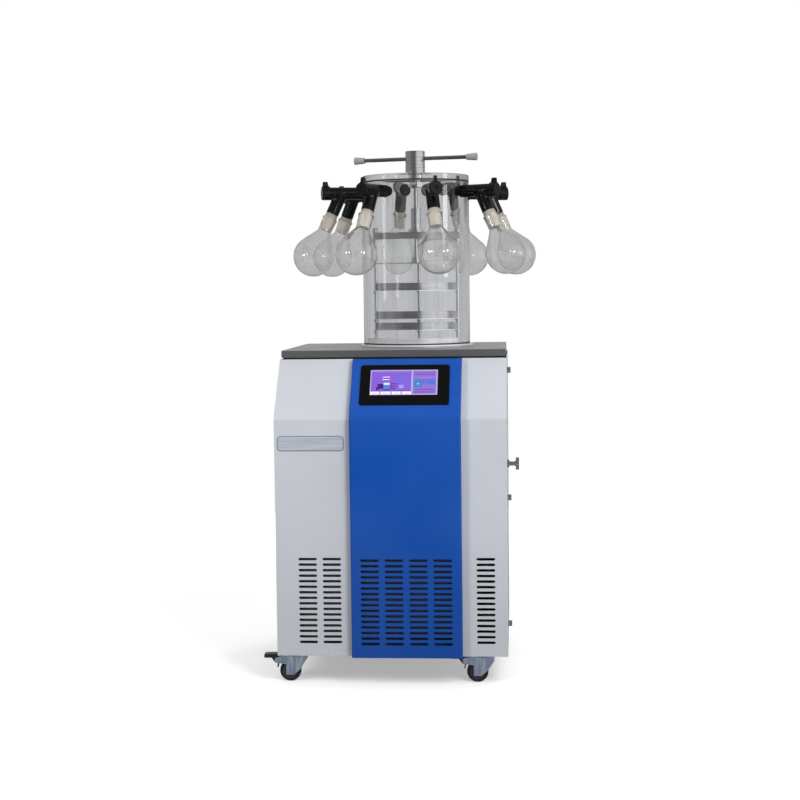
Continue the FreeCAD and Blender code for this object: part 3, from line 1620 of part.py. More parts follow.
def power_inlet():
    """Three-pin socket and the well of the rocker switch in one flanged unit."""
    body = new_body("power_inlet")
    half_x = size("inlet_width") / 2
    half_z = size("inlet_height") / 2
    rim = size("inlet_flange")
    face = size("inlet_flange_thickness")
    pad(body, "XZ_Plane", [rectangle(-half_x, half_x, -half_z, half_z)], -size("inlet_depth"),
        size("inlet_depth"))
    pad(body, "XZ_Plane", [rectangle(-half_x - rim, half_x + rim, -half_z - rim, half_z + rim)],
        0, face)
    drop = -size("socket_drop")
    socket_x = size("socket_width") / 2
    socket_z = size("socket_height") / 2
    depth = size("socket_depth")
    pocket(body, "XZ_Plane", [rectangle(-socket_x, socket_x, drop - socket_z, drop + socket_z)],
           face - depth, depth)
    pin_x = size("inlet_pin_thickness") / 2
    pin_z = size("inlet_pin_width") / 2
    pins = [rectangle(n * size("inlet_pin_pitch") - pin_x, n * size("inlet_pin_pitch") + pin_x,
                      drop - pin_z + abs(n) * 2 - 1, drop + pin_z + abs(n) * 2 - 1)
            for n in (-1, 0, 1)]
    pad(body, "XZ_Plane", pins, face - depth, size("inlet_pin_length"))
    well_x = size("switch_width") / 2 + size("switch_gap")
    well_z = size("switch_height") / 2 + size("switch_gap")
    rise = size("switch_rise")
    pocket(body, "XZ_Plane", [rectangle(-well_x, well_x, rise - well_z, rise + well_z)],
           face - size("switch_depth"), size("switch_depth"))
    pad(body, "YZ_Plane", [(0, rise, size("switch_pin_radius"))], -well_x, well_x * 2)
    return seat(body, inlet_side, half_depth, size("inlet_level"))


def power_switch():
    """Rocker that tips on the pin across its well."""
    body = new_body("power_switch")
    half_x = size("switch_width") / 2
    half_z = size("switch_height") / 2 - size("switch_gap")
    out = size("switch_rise_out")
    side_view = [
        (-out, -half_z / 2), (out, -half_z), (out / 2, 0), (out, half_z), (-out, half_z / 2),
    ]
    bore = (0, 0, size("switch_pin_radius") + size("running_fit"))
    pad(body, "YZ_Plane", [side_view[::-1], bore], -half_x, half_x * 2)
    return seat(body, inlet_side, half_depth, size("inlet_level") + size("switch_rise"))


def vacuum_port():
    """Pump connection through the rear panel, flanged outside and locked by a ring inside."""
    body = new_body("vacuum_port")
    bore = size("vacuum_bore")
    pipe = size("vacuum_radius")
    flange = size("vacuum_flange_radius")
    thick = size("vacuum_flange_thickness")
    end = size("vacuum_length")
    revolve(body, [
        (-size("vacuum_inside"), bore), (end, bore), (end, flange), (end - thick, flange),
        (end - thick, pipe), (thick, pipe), (thick, flange), (0, flange), (0, pipe),
        (-sheet_wall, pipe), (-sheet_wall, flange), (-sheet_wall - thick, flange),
        (-sheet_wall - thick, pipe), (-size("vacuum_inside"), pipe),
    ], axis="H_Axis", role="YZ_Plane")
    return seat(body, vacuum_side, half_depth, size("vacuum_level"))


# ---------------------------------------------------------------------------------------------
# building, checking and writing
# ---------------------------------------------------------------------------------------------
for build in (
    base_frame, left_panel, right_panel, rear_panel, front_cover, countertop, nameplate, hmi_bezel,
    hmi_screen, side_screws, drain_valve, drain_knob, caster_plates,
):
    build()
for name, place in CASTERS.items():
    caster_fork(name, *place)
    caster_wheel(name, *place)
    if name.startswith("front"):
        caster_brake(name, *place)
for build in (
    cold_trap, trap_flange, chamber_gaskets, chamber_cylinder, chamber_lid, evaporator_coil,
    trap_insulation, compressor, condenser, fan_rotor, control_box, power_inlet, power_switch,
    vacuum_port, press_head, spindle_nut, t_bar, t_bar_caps, press_rod, press_plate, guide_sleeve,
    rack_base, rack_rods, rack_top_plate, rack_shelves, sample_trays, valve_bodies,
):
    build()
for number, angle in enumerate(ports, start=1):
    valve_knob(number, angle)
flask_stoppers()
flask_group()
doc.recompute()

for item in doc.Objects:
    if "Invalid" in item.State or "Error" in item.State:
        raise RuntimeError(f"{item.Label} did not build")
for item in nodes:
    if item.Shape.isNull() or not item.Shape.isValid() or not item.Shape.Solids:
        raise RuntimeError(f"{item.Label} has no valid solid")

os.makedirs("parts", exist_ok=True)
for item in nodes:
    item.Shape.exportStep(f"parts/{item.Label}.step")
print(f"{len(nodes)} sub-parts written")
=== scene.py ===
from math import pi, radians

import bmesh
import bpy
import numpy as np
from mathutils import Matrix, Vector


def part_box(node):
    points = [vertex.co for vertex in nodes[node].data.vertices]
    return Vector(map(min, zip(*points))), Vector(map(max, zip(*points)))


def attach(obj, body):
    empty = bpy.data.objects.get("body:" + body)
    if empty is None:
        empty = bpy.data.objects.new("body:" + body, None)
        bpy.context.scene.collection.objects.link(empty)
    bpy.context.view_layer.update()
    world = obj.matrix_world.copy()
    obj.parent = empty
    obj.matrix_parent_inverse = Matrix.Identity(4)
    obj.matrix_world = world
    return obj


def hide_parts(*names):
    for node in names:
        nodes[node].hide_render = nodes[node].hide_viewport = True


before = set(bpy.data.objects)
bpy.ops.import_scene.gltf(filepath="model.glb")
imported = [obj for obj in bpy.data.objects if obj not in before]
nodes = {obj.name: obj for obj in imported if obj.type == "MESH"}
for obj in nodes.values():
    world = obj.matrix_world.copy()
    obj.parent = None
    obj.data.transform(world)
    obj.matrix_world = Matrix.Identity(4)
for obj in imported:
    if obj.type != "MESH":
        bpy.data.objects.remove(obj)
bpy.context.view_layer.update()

# ---------------------------------------------------------------------------------------------
# Viewpoint: a person standing in front of the machine, a little to its right,
# with the eye at the height of the chamber.
# ---------------------------------------------------------------------------------------------
camera = bpy.data.objects.new("viewpoint", bpy.data.cameras.new("viewpoint"))
bpy.context.scene.collection.objects.link(camera)
camera.data.sensor_width = 36
camera.data.lens = 70.65
camera.data.clip_end = 60
eye, heading, dip, lean = (0.27253, -3.87692, 0.9173), 4.265, -4.067, 0.672
camera.matrix_world = (
    Matrix.Translation(eye)
    @ Matrix.Rotation(radians(heading), 4, "Z")
    @ Matrix.Rotation(radians(dip), 4, "X")
    @ Matrix.Rotation(radians(lean), 4, "Y")
    @ Matrix.Rotation(radians(90), 4, "X")
)
bpy.context.scene.camera = camera


# ---------------------------------------------------------------------------------------------
# Room: a plain pale floor in a white studio, with large soft lights to the right, to the
# left and overhead, and small windows and panels that the clear pieces mirror.
# ---------------------------------------------------------------------------------------------
def add(tree, kind, settings=None, **values):
    """Puts a shader node in a tree. Each value, a number, a colour or another node's output,
    goes on the input of that name, or of that place when it is written n0, n1, n2."""
    made = tree.nodes.new("ShaderNode" + kind)
    for key, value in (settings or {}).items():
        setattr(made, key, value)
    for key, value in values.items():
        place = int(key[1:]) if key[0] == "n" and key[1:].isdigit() else key.replace("_", " ")
        if isinstance(value, bpy.types.NodeSocket):
            tree.links.new(value, made.inputs[place])
        else:
            made.inputs[place].default_value = value
    return made


def finish_of(name, **values):
    """A material with one Principled shader, and its tree."""
    made = bpy.data.materials.new(name)
    made.use_nodes = True
    made.node_tree.nodes.clear()
    shader = add(made.node_tree, "BsdfPrincipled", **values)
    add(made.node_tree, "OutputMaterial", Surface=shader.outputs[0])
    return made, made.node_tree, shader


def reach(tree, value, low, high, start, end):
    """Carries a value from the range low to high into the range start to end."""
    return add(tree, "MapRange", n0=value, n1=low, n2=high, n3=start, n4=end).outputs[0]


def blend(tree, share, one, other):
    """Mixes two colours by a share."""
    return add(tree, "Mix", {"data_type": "RGBA"}, n0=share, n6=one, n7=other).outputs[2]


def maths(tree, operation, *values, clamp=False):
    """One step of arithmetic on numbers or on other nodes' outputs."""
    settings = {"operation": operation, "use_clamp": clamp}
    return add(tree, "Math", settings, **{f"n{k}": value for k, value in enumerate(values)}).outputs[0]


def noise(tree, place, scale, detail, **more):
    """Soft random clouds between 0 and 1 over a place."""
    return add(tree, "TexNoise", Vector=place, Scale=scale, Detail=detail, **more).outputs[0]


def on_piece(tree):
    """The place on the piece in its Object coordinates."""
    return add(tree, "TexCoord").outputs["Object"]


floor_radius = 2.6
floor_mesh = bpy.data.meshes.new("floor")
turn = np.linspace(0, 2 * pi, 96, endpoint=False)
rim = np.stack([np.cos(turn) * floor_radius, np.sin(turn) * floor_radius, turn * 0], 1)
floor_mesh.from_pydata(rim.tolist(), [], [list(range(96))])
floor = bpy.data.objects.new("floor", floor_mesh)
bpy.context.scene.collection.objects.link(floor)
floor_finish, tree, shader = finish_of("floor_paint", Roughness=0.8, Specular_IOR_Level=0.1)
floor_tone = add(tree, "ValToRGB", Fac=noise(tree, on_piece(tree), 9.0, 5.0))
floor_tone.color_ramp.elements[0].color = (0.86, 0.86, 0.865, 1)
floor_tone.color_ramp.elements[1].color = (0.89, 0.89, 0.89, 1)
by_eye = add(tree, "LightPath").outputs["Is Camera Ray"]
bounce = blend(tree, by_eye, (0.27, 0.27, 0.275, 1), floor_tone.outputs[0])
tree.links.new(bounce, shader.inputs["Base Color"])
tree.links.new(bounce, shader.inputs["Emission Color"])
spread = add(tree, "VectorMath", {"operation": "LENGTH"}, Vector=on_piece(tree)).outputs["Value"]
lift = maths(tree, "MULTIPLY_ADD", reach(tree, spread, 1.0, 2.5, 0.0, 1.0), 0.6, 0.42)
tree.links.new(lift, shader.inputs["Emission Strength"])
floor_mesh.materials.append(floor_finish)

studio = bpy.data.worlds.new("studio")
bpy.context.scene.world = studio
studio.use_nodes = True
tree = studio.node_tree
tree.nodes.clear()
way = add(tree, "SeparateXYZ", Vector=add(tree, "TexCoord").outputs["Generated"])
front_turn = maths(tree, "ARCTAN2", way.outputs[0], maths(tree, "MULTIPLY", way.outputs[1], -1.0))
walls = add(tree, "ValToRGB", Fac=maths(tree, "MULTIPLY_ADD", front_turn, 0.5 / pi, 0.5))
wall_tones = [  # degrees round from the front, to the right, and how light the studio's wall is there
    (-180, 0.54), (-158, 0.53), (-135, 0.42), (-100, 0.34), (-62, 0.36), (-46, 0.26), (-38, 0.19),
    (11, 0.16), (20, 1.00), (60, 1.20), (63, 0.50), (67, 1.25), (102, 1.05), (112, 0.24),
    (135, 0.42), (158, 0.53), (180, 0.54)]
for n, (degrees, tone) in enumerate(wall_tones):
    stop = walls.color_ramp.elements[n] if n < 2 else walls.color_ramp.elements.new(degrees / 360 + 0.5)
    stop.position, stop.color = degrees / 360 + 0.5, (tone, tone, tone * 1.02, 1)

upward = reach(tree, way.outputs[2], 0.35, 0.75, 0.0, 1.0)
downward = reach(tree, way.outputs[2], -0.12, -0.40, 0.0, 1.0)
with_ceiling = blend(tree, upward, walls.outputs[0], (0.36, 0.36, 0.37, 1))
with_ground = blend(tree, downward, with_ceiling, (0.12, 0.12, 0.12, 1))
path = add(tree, "LightPath")
lit = add(tree, "Background", Color=with_ground, Strength=0.95)
seen = add(tree, "Background", Color=(1, 1, 1, 1), Strength=1.0)
whole = add(tree, "MixShader", Fac=path.outputs["Is Camera Ray"], n1=lit.outputs[0], n2=seen.outputs[0])
add(tree, "OutputWorld", Surface=whole.outputs[0])
bpy.context.scene.view_settings.view_transform = "Standard"
bpy.context.scene.cycles.max_bounces = 28
bpy.context.scene.cycles.transmission_bounces = 28

tank_parts = bpy.data.collections.new("tank_parts")
glints_on_ports = bpy.data.collections.new("glints_on_ports")


def softbox(name, place, aim, width, height, watts, glints=None):
    """A rectangular lamp at a place, turned to face its aim. One for glints shows only as its
    reflection in the clear pieces of a collection; the others light softly and show in nothing."""
    lamp = bpy.data.lights.new(name, "AREA")
    lamp.shape = "RECTANGLE"
    lamp.size, lamp.size_y, lamp.energy = width, height, watts
    made = bpy.data.objects.new(name, lamp)
    bpy.context.scene.collection.objects.link(made)
    made.location = place
    made.rotation_euler = (Vector(aim) - Vector(place)).to_track_quat("-Z", "Y").to_euler()
    made.visible_diffuse, made.visible_glossy = glints is None, glints is not None
    made.visible_transmission = False
    made.light_linking.receiver_collection = glints


softbox("right_softbox", (1.3, -2.4, 2.15), (0.0, -0.1, 0.85), 0.8, 1.4, 52)
softbox("left_softbox", (-1.8, -2.3, 2.0), (0.0, 0.0, 0.80), 0.5, 1.4, 32)
softbox("top_softbox", (0.0, 1.0, 3.0), (0.0, 0.0, 0.9), 1.6, 0.9, 17)
softbox("back_strip", (0.9, 2.1, 1.7), (0.0, 0.0, 0.9), 0.5, 1.6, 12)
softbox("left_window_1", (-2.45, -2.0, 1.45), (0.0, 0.0, 0.9), 0.62, 0.38, 26, glints_on_ports)
softbox("left_window_2", (-1.75, -2.6, 1.45), (0.0, 0.0, 0.9), 0.42, 0.34, 15, glints_on_ports)
softbox("right_window_1", (2.3, -2.2, 1.45), (0.0, 0.0, 0.9), 0.66, 0.38, 28, glints_on_ports)
softbox("right_window_2", (1.55, -2.8, 1.45), (0.0, 0.0, 0.9), 0.42, 0.34, 15, glints_on_ports)
softbox("right_panel_light", (3.0, -1.1, 1.30), (0.0, 0.0, 1.1), 0.60, 0.8, 9, tank_parts)
softbox("left_panel_light", (-2.9, -1.2, 1.15), (0.0, 0.0, 1.0), 0.40, 0.9, 4.5, tank_parts)
softbox("left_far_light", (-1.9, -2.5, 1.10), (0.0, 0.0, 1.0), 0.34, 0.8, 3.2, tank_parts)


# ---------------------------------------------------------------------------------------------
# Base frame: square steel tubes welded to a pressed floor tray, dipped in dark satin paint.
# It carries the skins, the refrigeration set and the casters. Its near-black tone is also painted shade where
# its top rails show in the gap under the countertop.
# ---------------------------------------------------------------------------------------------
def effect(name, takes, gives):
    """A shader group with named inputs, {name: value}, and named outputs. Names that end in
    Color carry colours, and Vector carries a place."""
    group = bpy.data.node_groups.new(name, "ShaderNodeTree")

    def kind(key):
        return "NodeSocket" + ("Color" if key.endswith("Color") else "Vector" if key == "Vector" else "Float")

    for key, value in takes.items():
        group.interface.new_socket(key, in_out="INPUT", socket_type=kind(key)).default_value = value
    for key in gives:
        group.interface.new_socket(key, in_out="OUTPUT", socket_type=kind(key))
    return group, group.nodes.new("NodeGroupInput"), group.nodes.new("NodeGroupOutput")


coat, given, out = effect(
    "sprayed_coat",
    {"Color": (0.5, 0.5, 0.5, 1), "Dust Color": (0.5, 0.5, 0.5, 1), "Dust": 0.1, "Peel": 650.0,
     "Sheen": 0.34},
    ["Color", "Roughness", "Height"],
)
place = on_piece(coat)
own = given.outputs["Color"]
specks = noise(coat, place, 160.0, 3.0)
# Towards the floor the coat blends to its second colour: real dusting where that colour is lighter, painted
# shade where it is darker.
low_dust_and_shade = reach(coat, add(coat, "SeparateXYZ", Vector=place).outputs[2], 0.42, 0.05, 0.0, 1.0)
dust_and_shade_here = maths(coat, "MULTIPLY", low_dust_and_shade, reach(coat, specks, 0.3, 0.7, 0.2, 1.0))
dust_and_shade_share = maths(coat, "MULTIPLY", dust_and_shade_here, given.outputs["Dust"], clamp=True)
darker = add(coat, "HueSaturation", Hue=0.5, Saturation=1.03, Value=0.93, Fac=1.0, Color=own).outputs[0]
toned = blend(coat, reach(coat, noise(coat, place, 4.0, 4.0), 0.3, 0.7, 0.0, 1.0), own, darker)
coat.links.new(blend(coat, dust_and_shade_share, toned, given.outputs["Dust Color"]), out.inputs["Color"])
coat.links.new(maths(coat, "MULTIPLY_ADD", specks, 0.10, given.outputs["Sheen"]), out.inputs["Roughness"])
coat.links.new(noise(coat, place, given.outputs["Peel"], 2.0), out.inputs["Height"])


def laid_on(tree, shader, group, strength, distance, **values):
    """Places an effect in a finish: its colour and roughness go on the shader, and its height
    through a bump, which is given back."""
    layer = add(tree, "Group", {"node_tree": group}, **values)
    for socket, face in (("Color", "Base Color"), ("Roughness", "Roughness")):
        if socket in layer.outputs:
            tree.links.new(layer.outputs[socket], shader.inputs[face])
    bump = add(tree, "Bump", Strength=strength, Distance=distance, Height=layer.outputs["Height"])
    tree.links.new(bump.outputs[0], shader.inputs["Normal"])
    return bump


def painted(name, colour, dust_and_shade_colour, dust=0.12, sheen=0.30, peel=650.0, strength=0.12, gloss=0.5):
    """Sprayed and baked paint: fine orange peel, soft tone changes, and towards the floor a blend to a second
    colour: a lighter dusting on the dark paints, painted shade on the grey and blue enamels, where that
    colour is darker.
    The shader rounds the sheet's sharp edges by half a millimetre."""
    made, tree, shader = finish_of(name, Specular_IOR_Level=gloss)
    bump = laid_on(tree, shader, coat, strength, 0.0004, Color=(*colour, 1), Dust_Color=(*dust_and_shade_colour, 1),
                   Dust=dust, Peel=peel, Sheen=sheen)
    tree.links.new(add(tree, "Bevel", {"samples": 4}, Radius=0.0006).outputs[0], bump.inputs["Normal"])
    return made


def dress(node, material):
    """Gives a CAD node its finish in every one of its material slots."""
    for slot in nodes[node].material_slots:
        slot.material = material


frame_paint = painted("frame_paint", (0.045, 0.047, 0.052), (0.20, 0.19, 0.18), dust=0.30, sheen=0.42)
dress("base_frame", frame_paint)


# ---------------------------------------------------------------------------------------------
# Casters: pressed and zinc-plated forks on riveted top plates, with black rubber tyres
# on grey moulded hubs. The two front ones have a black pedal brake.
# ---------------------------------------------------------------------------------------------
def lathe(rows, steps=72, closed=False):
    """A turned shape about Z. Point (k, a) is (r_k cos a, r_k sin a, h_k) for the profile's rows
    (r, h) and evenly spaced angles a. Closed joins the last row to the first."""
    rows = np.asarray(rows, float)
    angle = np.linspace(0, 2 * pi, steps, endpoint=False)
    points = np.stack([rows[:, :1] * np.cos(angle), rows[:, :1] * np.sin(angle),
                       np.repeat(rows[:, 1:], steps, 1)], 2).reshape(-1, 3)
    count = len(rows)
    k, a = np.meshgrid(np.arange(count if closed else count - 1), np.arange(steps), indexing="ij")
    above, beside = (k + 1) % count, (a + 1) % steps
    faces = np.stack([k * steps + a, k * steps + beside, above * steps + beside, above * steps + a], 2)
    return points, faces.reshape(-1, 4)


def eased(corners, bends=4):
    """A profile whose corners (r, h, e) are rounded: each is cut back by e along both its
    sides and joined by a parabola through the cut points with the corner as its control."""
    rows = []
    for n, (r, h, *ease) in enumerate(corners):
        here = np.array([r, h], float)
        if not ease or not ease[0] or n in (0, len(corners) - 1):
            rows.append(here)
            continue
        sides = [np.array(corners[m][:2], float) - here for m in (n - 1, n + 1)]
        back, on = (here + s * min(ease[0] / np.linalg.norm(s), 0.49) for s in sides)
        t = np.linspace(0, 1, bends + 1)[:, None]
        rows.extend((1 - t) ** 2 * back + 2 * t * (1 - t) * here + t ** 2 * on)
    return np.array(rows)


def moved(part, matrix):
    """A part's points carried by a 4 by 4 matrix."""
    points, faces = part
    m = np.array(matrix)
    return points @ m[:3, :3].T + m[:3, 3], faces


def along(direction, origin):
    """The matrix that stands a turned shape's Z along a direction at an origin."""
    return Matrix.Translation(origin) @ Vector(direction).to_track_quat("Z", "Y").to_matrix().to_4x4()


def piece(name, parts, crease=32):
    """One object from parts, each (points, faces) and its material. Doubles are merged, faces
    turned outwards and edges sharper than the crease angle kept crisp."""
    mesh = bpy.data.meshes.new(name)
    finishes, points, faces, marks, start = [], [], [], [], 0
    for (spots, quads), material in parts:
        if material not in finishes:
            finishes.append(material)
        points.append(spots)
        faces.extend([[corner + start for corner in face] for face in np.asarray(quads, object).tolist()])
        marks += [finishes.index(material)] * len(quads)
        start += len(spots)
    mesh.from_pydata(np.concatenate(points).tolist(), [], faces)
    for material in finishes:
        mesh.materials.append(material)
    mesh.polygons.foreach_set("material_index", marks)
    shape = bmesh.new()
    shape.from_mesh(mesh)
    bmesh.ops.remove_doubles(shape, verts=shape.verts, dist=2e-6)
    bmesh.ops.recalc_face_normals(shape, faces=shape.faces)
    shape.to_mesh(mesh)
    shape.free()
    mesh.shade_smooth()
    mesh.set_sharp_from_angle(angle=radians(crease))
    made = bpy.data.objects.new(name, mesh)
    bpy.context.scene.collection.objects.link(made)
    return made


machining, given, out = effect(
    "machined_lines",
    {"Vector": (0, 0, 0), "Color": (0.6, 0.6, 0.6, 1), "Sheen": 0.25, "Lines": 1.0},
    ["Color", "Roughness", "Height"],
)
own = given.outputs["Color"]
wide = reach(machining, noise(machining, given.outputs["Vector"], 420.0, 2.0), 0.35, 0.65, 0.0, 1.0)
darker = add(machining, "HueSaturation", Hue=0.5, Saturation=1.0, Value=0.80, Fac=1.0, Color=own).outputs[0]
machining.links.new(blend(machining, wide, own, darker), out.inputs["Color"])
fine = noise(machining, given.outputs["Vector"], 900.0, 2.0)
fine = maths(machining, "MULTIPLY", fine, given.outputs["Lines"])
scratched = maths(machining, "MULTIPLY_ADD", fine, 0.14, given.outputs["Sheen"])
film = noise(machining, on_piece(machining), 22.0, 4.0)
machining.links.new(maths(machining, "MULTIPLY_ADD", film, 0.08, scratched), out.inputs["Roughness"])
machining.links.new(fine, out.inputs["Height"])


def machined(name, colour, run=(0.02, 0.02, 1.0), sheen=0.18, lines=1.0, strength=0.06, metallic=1.0):
    """Bare metal with fine lines left by the tool; run squeezes the pattern along each axis."""
    made, tree, shader = finish_of(name, Metallic=metallic)
    grain = add(tree, "Mapping", Vector=on_piece(tree), Scale=run).outputs[0]
    laid_on(tree, shader, machining, strength, 0.0002, Vector=grain, Color=(*colour, 1), Sheen=sheen,
            Lines=lines)
    return made


moulding, given, out = effect(
    "moulded_grain",
    {"Color": (0.02, 0.02, 0.02, 1), "Worn Color": (0.1, 0.1, 0.1, 1), "Grain": 1400.0, "Sheen": 0.4,
     "Wear": 0.15},
    ["Color", "Roughness", "Height"],
)
place = on_piece(moulding)
patch = noise(moulding, place, 35.0, 6.0)
rubbed = reach(moulding, patch, 0.5, 0.75, 0.0, 1.0)
rubbed = maths(moulding, "MULTIPLY", rubbed, given.outputs["Wear"], clamp=True)
worn_tone = blend(moulding, rubbed, given.outputs["Color"], given.outputs["Worn Color"])
moulding.links.new(worn_tone, out.inputs["Color"])
uneven = maths(moulding, "MULTIPLY_ADD", patch, 0.16, given.outputs["Sheen"])
moulding.links.new(uneven, out.inputs["Roughness"])
moulding.links.new(noise(moulding, place, given.outputs["Grain"], 3.0), out.inputs["Height"])


def moulded(name, colour, worn, sheen=0.35, grain=1400.0, wear=0.15, strength=0.12, distance=0.0003,
            gloss=0.5):
    """Moulded plastic or rubber: a fine grain, slightly uneven gloss and lighter rubbed patches."""
    made, tree, shader = finish_of(name, Specular_IOR_Level=gloss)
    laid_on(tree, shader, moulding, strength, distance, Color=(*colour, 1), Worn_Color=(*worn, 1),
            Grain=grain, Sheen=sheen, Wear=wear)
    return made


def tinted(material, share, colour):
    """Lays a colour over a finish's own tone by a share."""
    tree = material.node_tree
    face = tree.nodes["Principled BSDF"].inputs["Base Color"]
    tree.links.new(blend(tree, share, face.links[0].from_socket, colour), face)


# The riveted top plates get a near-black finish: painted shade, standing for the shadow under the cabinet's
# lower edge.
plate_painted_shade = moulded("caster_plate_shade", (0.02, 0.02, 0.022), (0.07, 0.07, 0.07), sheen=0.35)
dress("caster_plates", plate_painted_shade)
zinc = machined("zinc_plate", (0.46, 0.56, 0.75), run=(0.5, 0.5, 1.0), sheen=0.24, lines=0.8)
tree = zinc.node_tree
# Light bluish streaks over the plating: painted reflections of bright surroundings, laid on as a random
# streaky pattern.
streak_place = add(tree, "Mapping", Vector=on_piece(tree), Scale=(120, 120, 26)).outputs[0]
tinted(zinc, reach(tree, noise(tree, streak_place, 1.0, 1.5), 0.42, 0.72, 0.0, 0.75), (0.86, 0.95, 1.0, 1))
tyre_rubber = moulded("tyre_rubber", (0.014, 0.014, 0.015), (0.06, 0.058, 0.055), sheen=0.50, grain=900.0,
                      wear=0.35)
hub_grey = moulded("hub_grey", (0.050, 0.052, 0.058), (0.10, 0.10, 0.11), sheen=0.32)
pedal_black = moulded("pedal_black", (0.016, 0.016, 0.018), (0.06, 0.06, 0.06), sheen=0.28)

wheel_radius, hub_half = 0.025, 0.0113
tyre_rows = eased([
    (0.0188, -0.0062, 0), (0.0196, -0.0096, 0.0012), (0.0222, -0.0100, 0.002), (wheel_radius, -0.0070, 0.004),
    (wheel_radius, 0.0070, 0.004), (0.0222, 0.0100, 0.002), (0.0196, 0.0096, 0.0012), (0.0188, 0.0062, 0)])
hub_rows = eased([
    (0.0042, -hub_half, 0), (0.0078, -hub_half, 0.0008), (0.0090, -0.0076, 0.002), (0.0172, -0.0060, 0.002),
    (0.0188, -0.0076, 0.0008), (0.0190, -0.0060, 0), (0.0190, 0.0060, 0), (0.0188, 0.0076, 0.0008),
    (0.0172, 0.0060, 0.002), (0.0090, 0.0076, 0.002), (0.0078, hub_half, 0.0008), (0.0042, hub_half, 0)])
for corner in ("front_left", "front_right", "rear_left", "rear_right"):
    low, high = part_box(f"caster_wheel_{corner}")
    stand = along((0, 1, 0), (low + high) / 2)
    wheel = piece(f"wheel_{corner}", [(moved(lathe(tyre_rows, 72, True), stand), tyre_rubber),
                                      (moved(lathe(hub_rows, 72, True), stand), hub_grey)])
    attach(wheel, f"wheel_{corner}")
    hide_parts(f"caster_wheel_{corner}")
    dress(f"caster_fork_{corner}", zinc)
for corner in ("front_left", "front_right"):
    dress(f"caster_brake_{corner}", pedal_black)

# ---------------------------------------------------------------------------------------------
# Refrigeration set: black domed compressor, finned condenser with a five-bladed fan,
# foam round the trap and copper tube wound on it. Little of it shows through the slots.
# ---------------------------------------------------------------------------------------------
dress("compressor", painted("compressor_enamel", (0.012, 0.012, 0.014), (0.10, 0.10, 0.10), dust=0.25,
                            sheen=0.22))
dress("condenser", machined("condenser_fins", (0.16, 0.16, 0.17), run=(1.0, 1.0, 0.1), sheen=0.36))
dress("fan_rotor", moulded("fan_nylon", (0.02, 0.02, 0.022), (0.12, 0.12, 0.12), wear=0.3))
dress("control_box", moulded("box_grey", (0.42, 0.43, 0.45), (0.5, 0.5, 0.5), sheen=0.4, wear=0.1))
dress("trap_insulation", moulded("foam", (0.70, 0.62, 0.40), (0.78, 0.72, 0.54), sheen=0.75, grain=240.0,
                                 wear=0.8, strength=0.6, distance=0.002))
dress("evaporator_coil", machined("copper_tube", (0.85, 0.42, 0.26), run=(0.3, 0.3, 1.0), sheen=0.22))
dress("cold_trap", machined("trap_steel", (0.66, 0.67, 0.68), sheen=0.20))

# ---------------------------------------------------------------------------------------------
# Skins: folded sheet steel in light grey baked enamel, with rows of pressed air slots
# low down, screwed to the frame.
# ---------------------------------------------------------------------------------------------
# The grey enamel's darker second colour, laid on low down, is painted shade.
grey_enamel = painted("grey_enamel", (0.545, 0.566, 0.600), (0.36, 0.36, 0.375), dust=0.27, sheen=0.27)
for skin in ("left_panel", "right_panel", "rear_panel"):
    dress(skin, grey_enamel)

# ---------------------------------------------------------------------------------------------
# Front cover: one bent sheet in deep blue enamel, hooked over the grey front so that it
# stands proud, with four columns of slots.
# ---------------------------------------------------------------------------------------------
# The blue enamel's darker second colour, laid on heavily low down, is painted shade.
dress("front_cover", painted("blue_enamel", (0.0145, 0.080, 0.375), (0.006, 0.045, 0.21), dust=0.75,
                             sheen=0.30, gloss=0.22))

# ---------------------------------------------------------------------------------------------
# Countertop: a solid slab with a speckled mid-grey face and a darker sanded edge,
# bedded on the skins.
# ---------------------------------------------------------------------------------------------
low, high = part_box("countertop")
counter_top = high.z
slab, tree, shader = finish_of("counter_laminate")
spot = on_piece(tree)
level = add(tree, "SeparateXYZ", Vector=spot).outputs[2]
face = reach(tree, level, counter_top - 0.0009, counter_top - 0.0004, 0.0, 1.0)
chips = reach(tree, noise(tree, spot, 900.0, 3.0), 0.40, 0.62, 0.0, 1.0)
edge = blend(tree, chips, (0.074, 0.074, 0.077, 1), (0.102, 0.102, 0.103, 1))
top = blend(tree, chips, (0.228, 0.228, 0.228, 1), (0.290, 0.290, 0.288, 1))
tree.links.new(blend(tree, face, edge, top), shader.inputs["Base Color"])
smears = reach(tree, noise(tree, spot, 14.0, 5.0), 0.3, 0.7, 0.30, 0.46)
tree.links.new(smears, shader.inputs["Roughness"])
pitted = add(tree, "Bump", Strength=0.08, Distance=0.0003, Height=chips).outputs[0]
tree.links.new(pitted, shader.inputs["Normal"])
dress("countertop", slab)

# ---------------------------------------------------------------------------------------------
# Touch screen unit: a glossy black bezel let into the cover's slope, with a lit display
# of plain coloured fields behind its glass.
# ---------------------------------------------------------------------------------------------
dress("hmi_bezel", moulded("bezel_gloss", (0.003, 0.003, 0.0035), (0.006, 0.006, 0.006), sheen=0.12, wear=0.1,
                           strength=0.02, gloss=0.12))
low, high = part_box("hmi_screen")
across = Vector((1, 0, 0))
slope_run, slope_rise = 0.112, 0.133
rise = Vector((0, slope_run, slope_rise)).normalized()
glass_middle = (low + high) / 2
screen_normal = across.cross(rise)
display, tree, shader = finish_of("display_lit", Base_Color=(0.010, 0.009, 0.016, 1), Roughness=0.12,
                                  Specular_IOR_Level=0.15)
tint = add(tree, "Attribute", {"attribute_name": "field"}).outputs["Color"]
cells = add(tree, "TexVoronoi", Vector=on_piece(tree), Scale=1500.0).outputs["Distance"]
dots = blend(tree, reach(tree, cells, 0.0, 0.6, 0.0, 0.12), tint, (0.02, 0.02, 0.05, 1))
tree.links.new(dots, shader.inputs["Emission Color"])
shader.inputs["Emission Strength"].default_value = 1.35

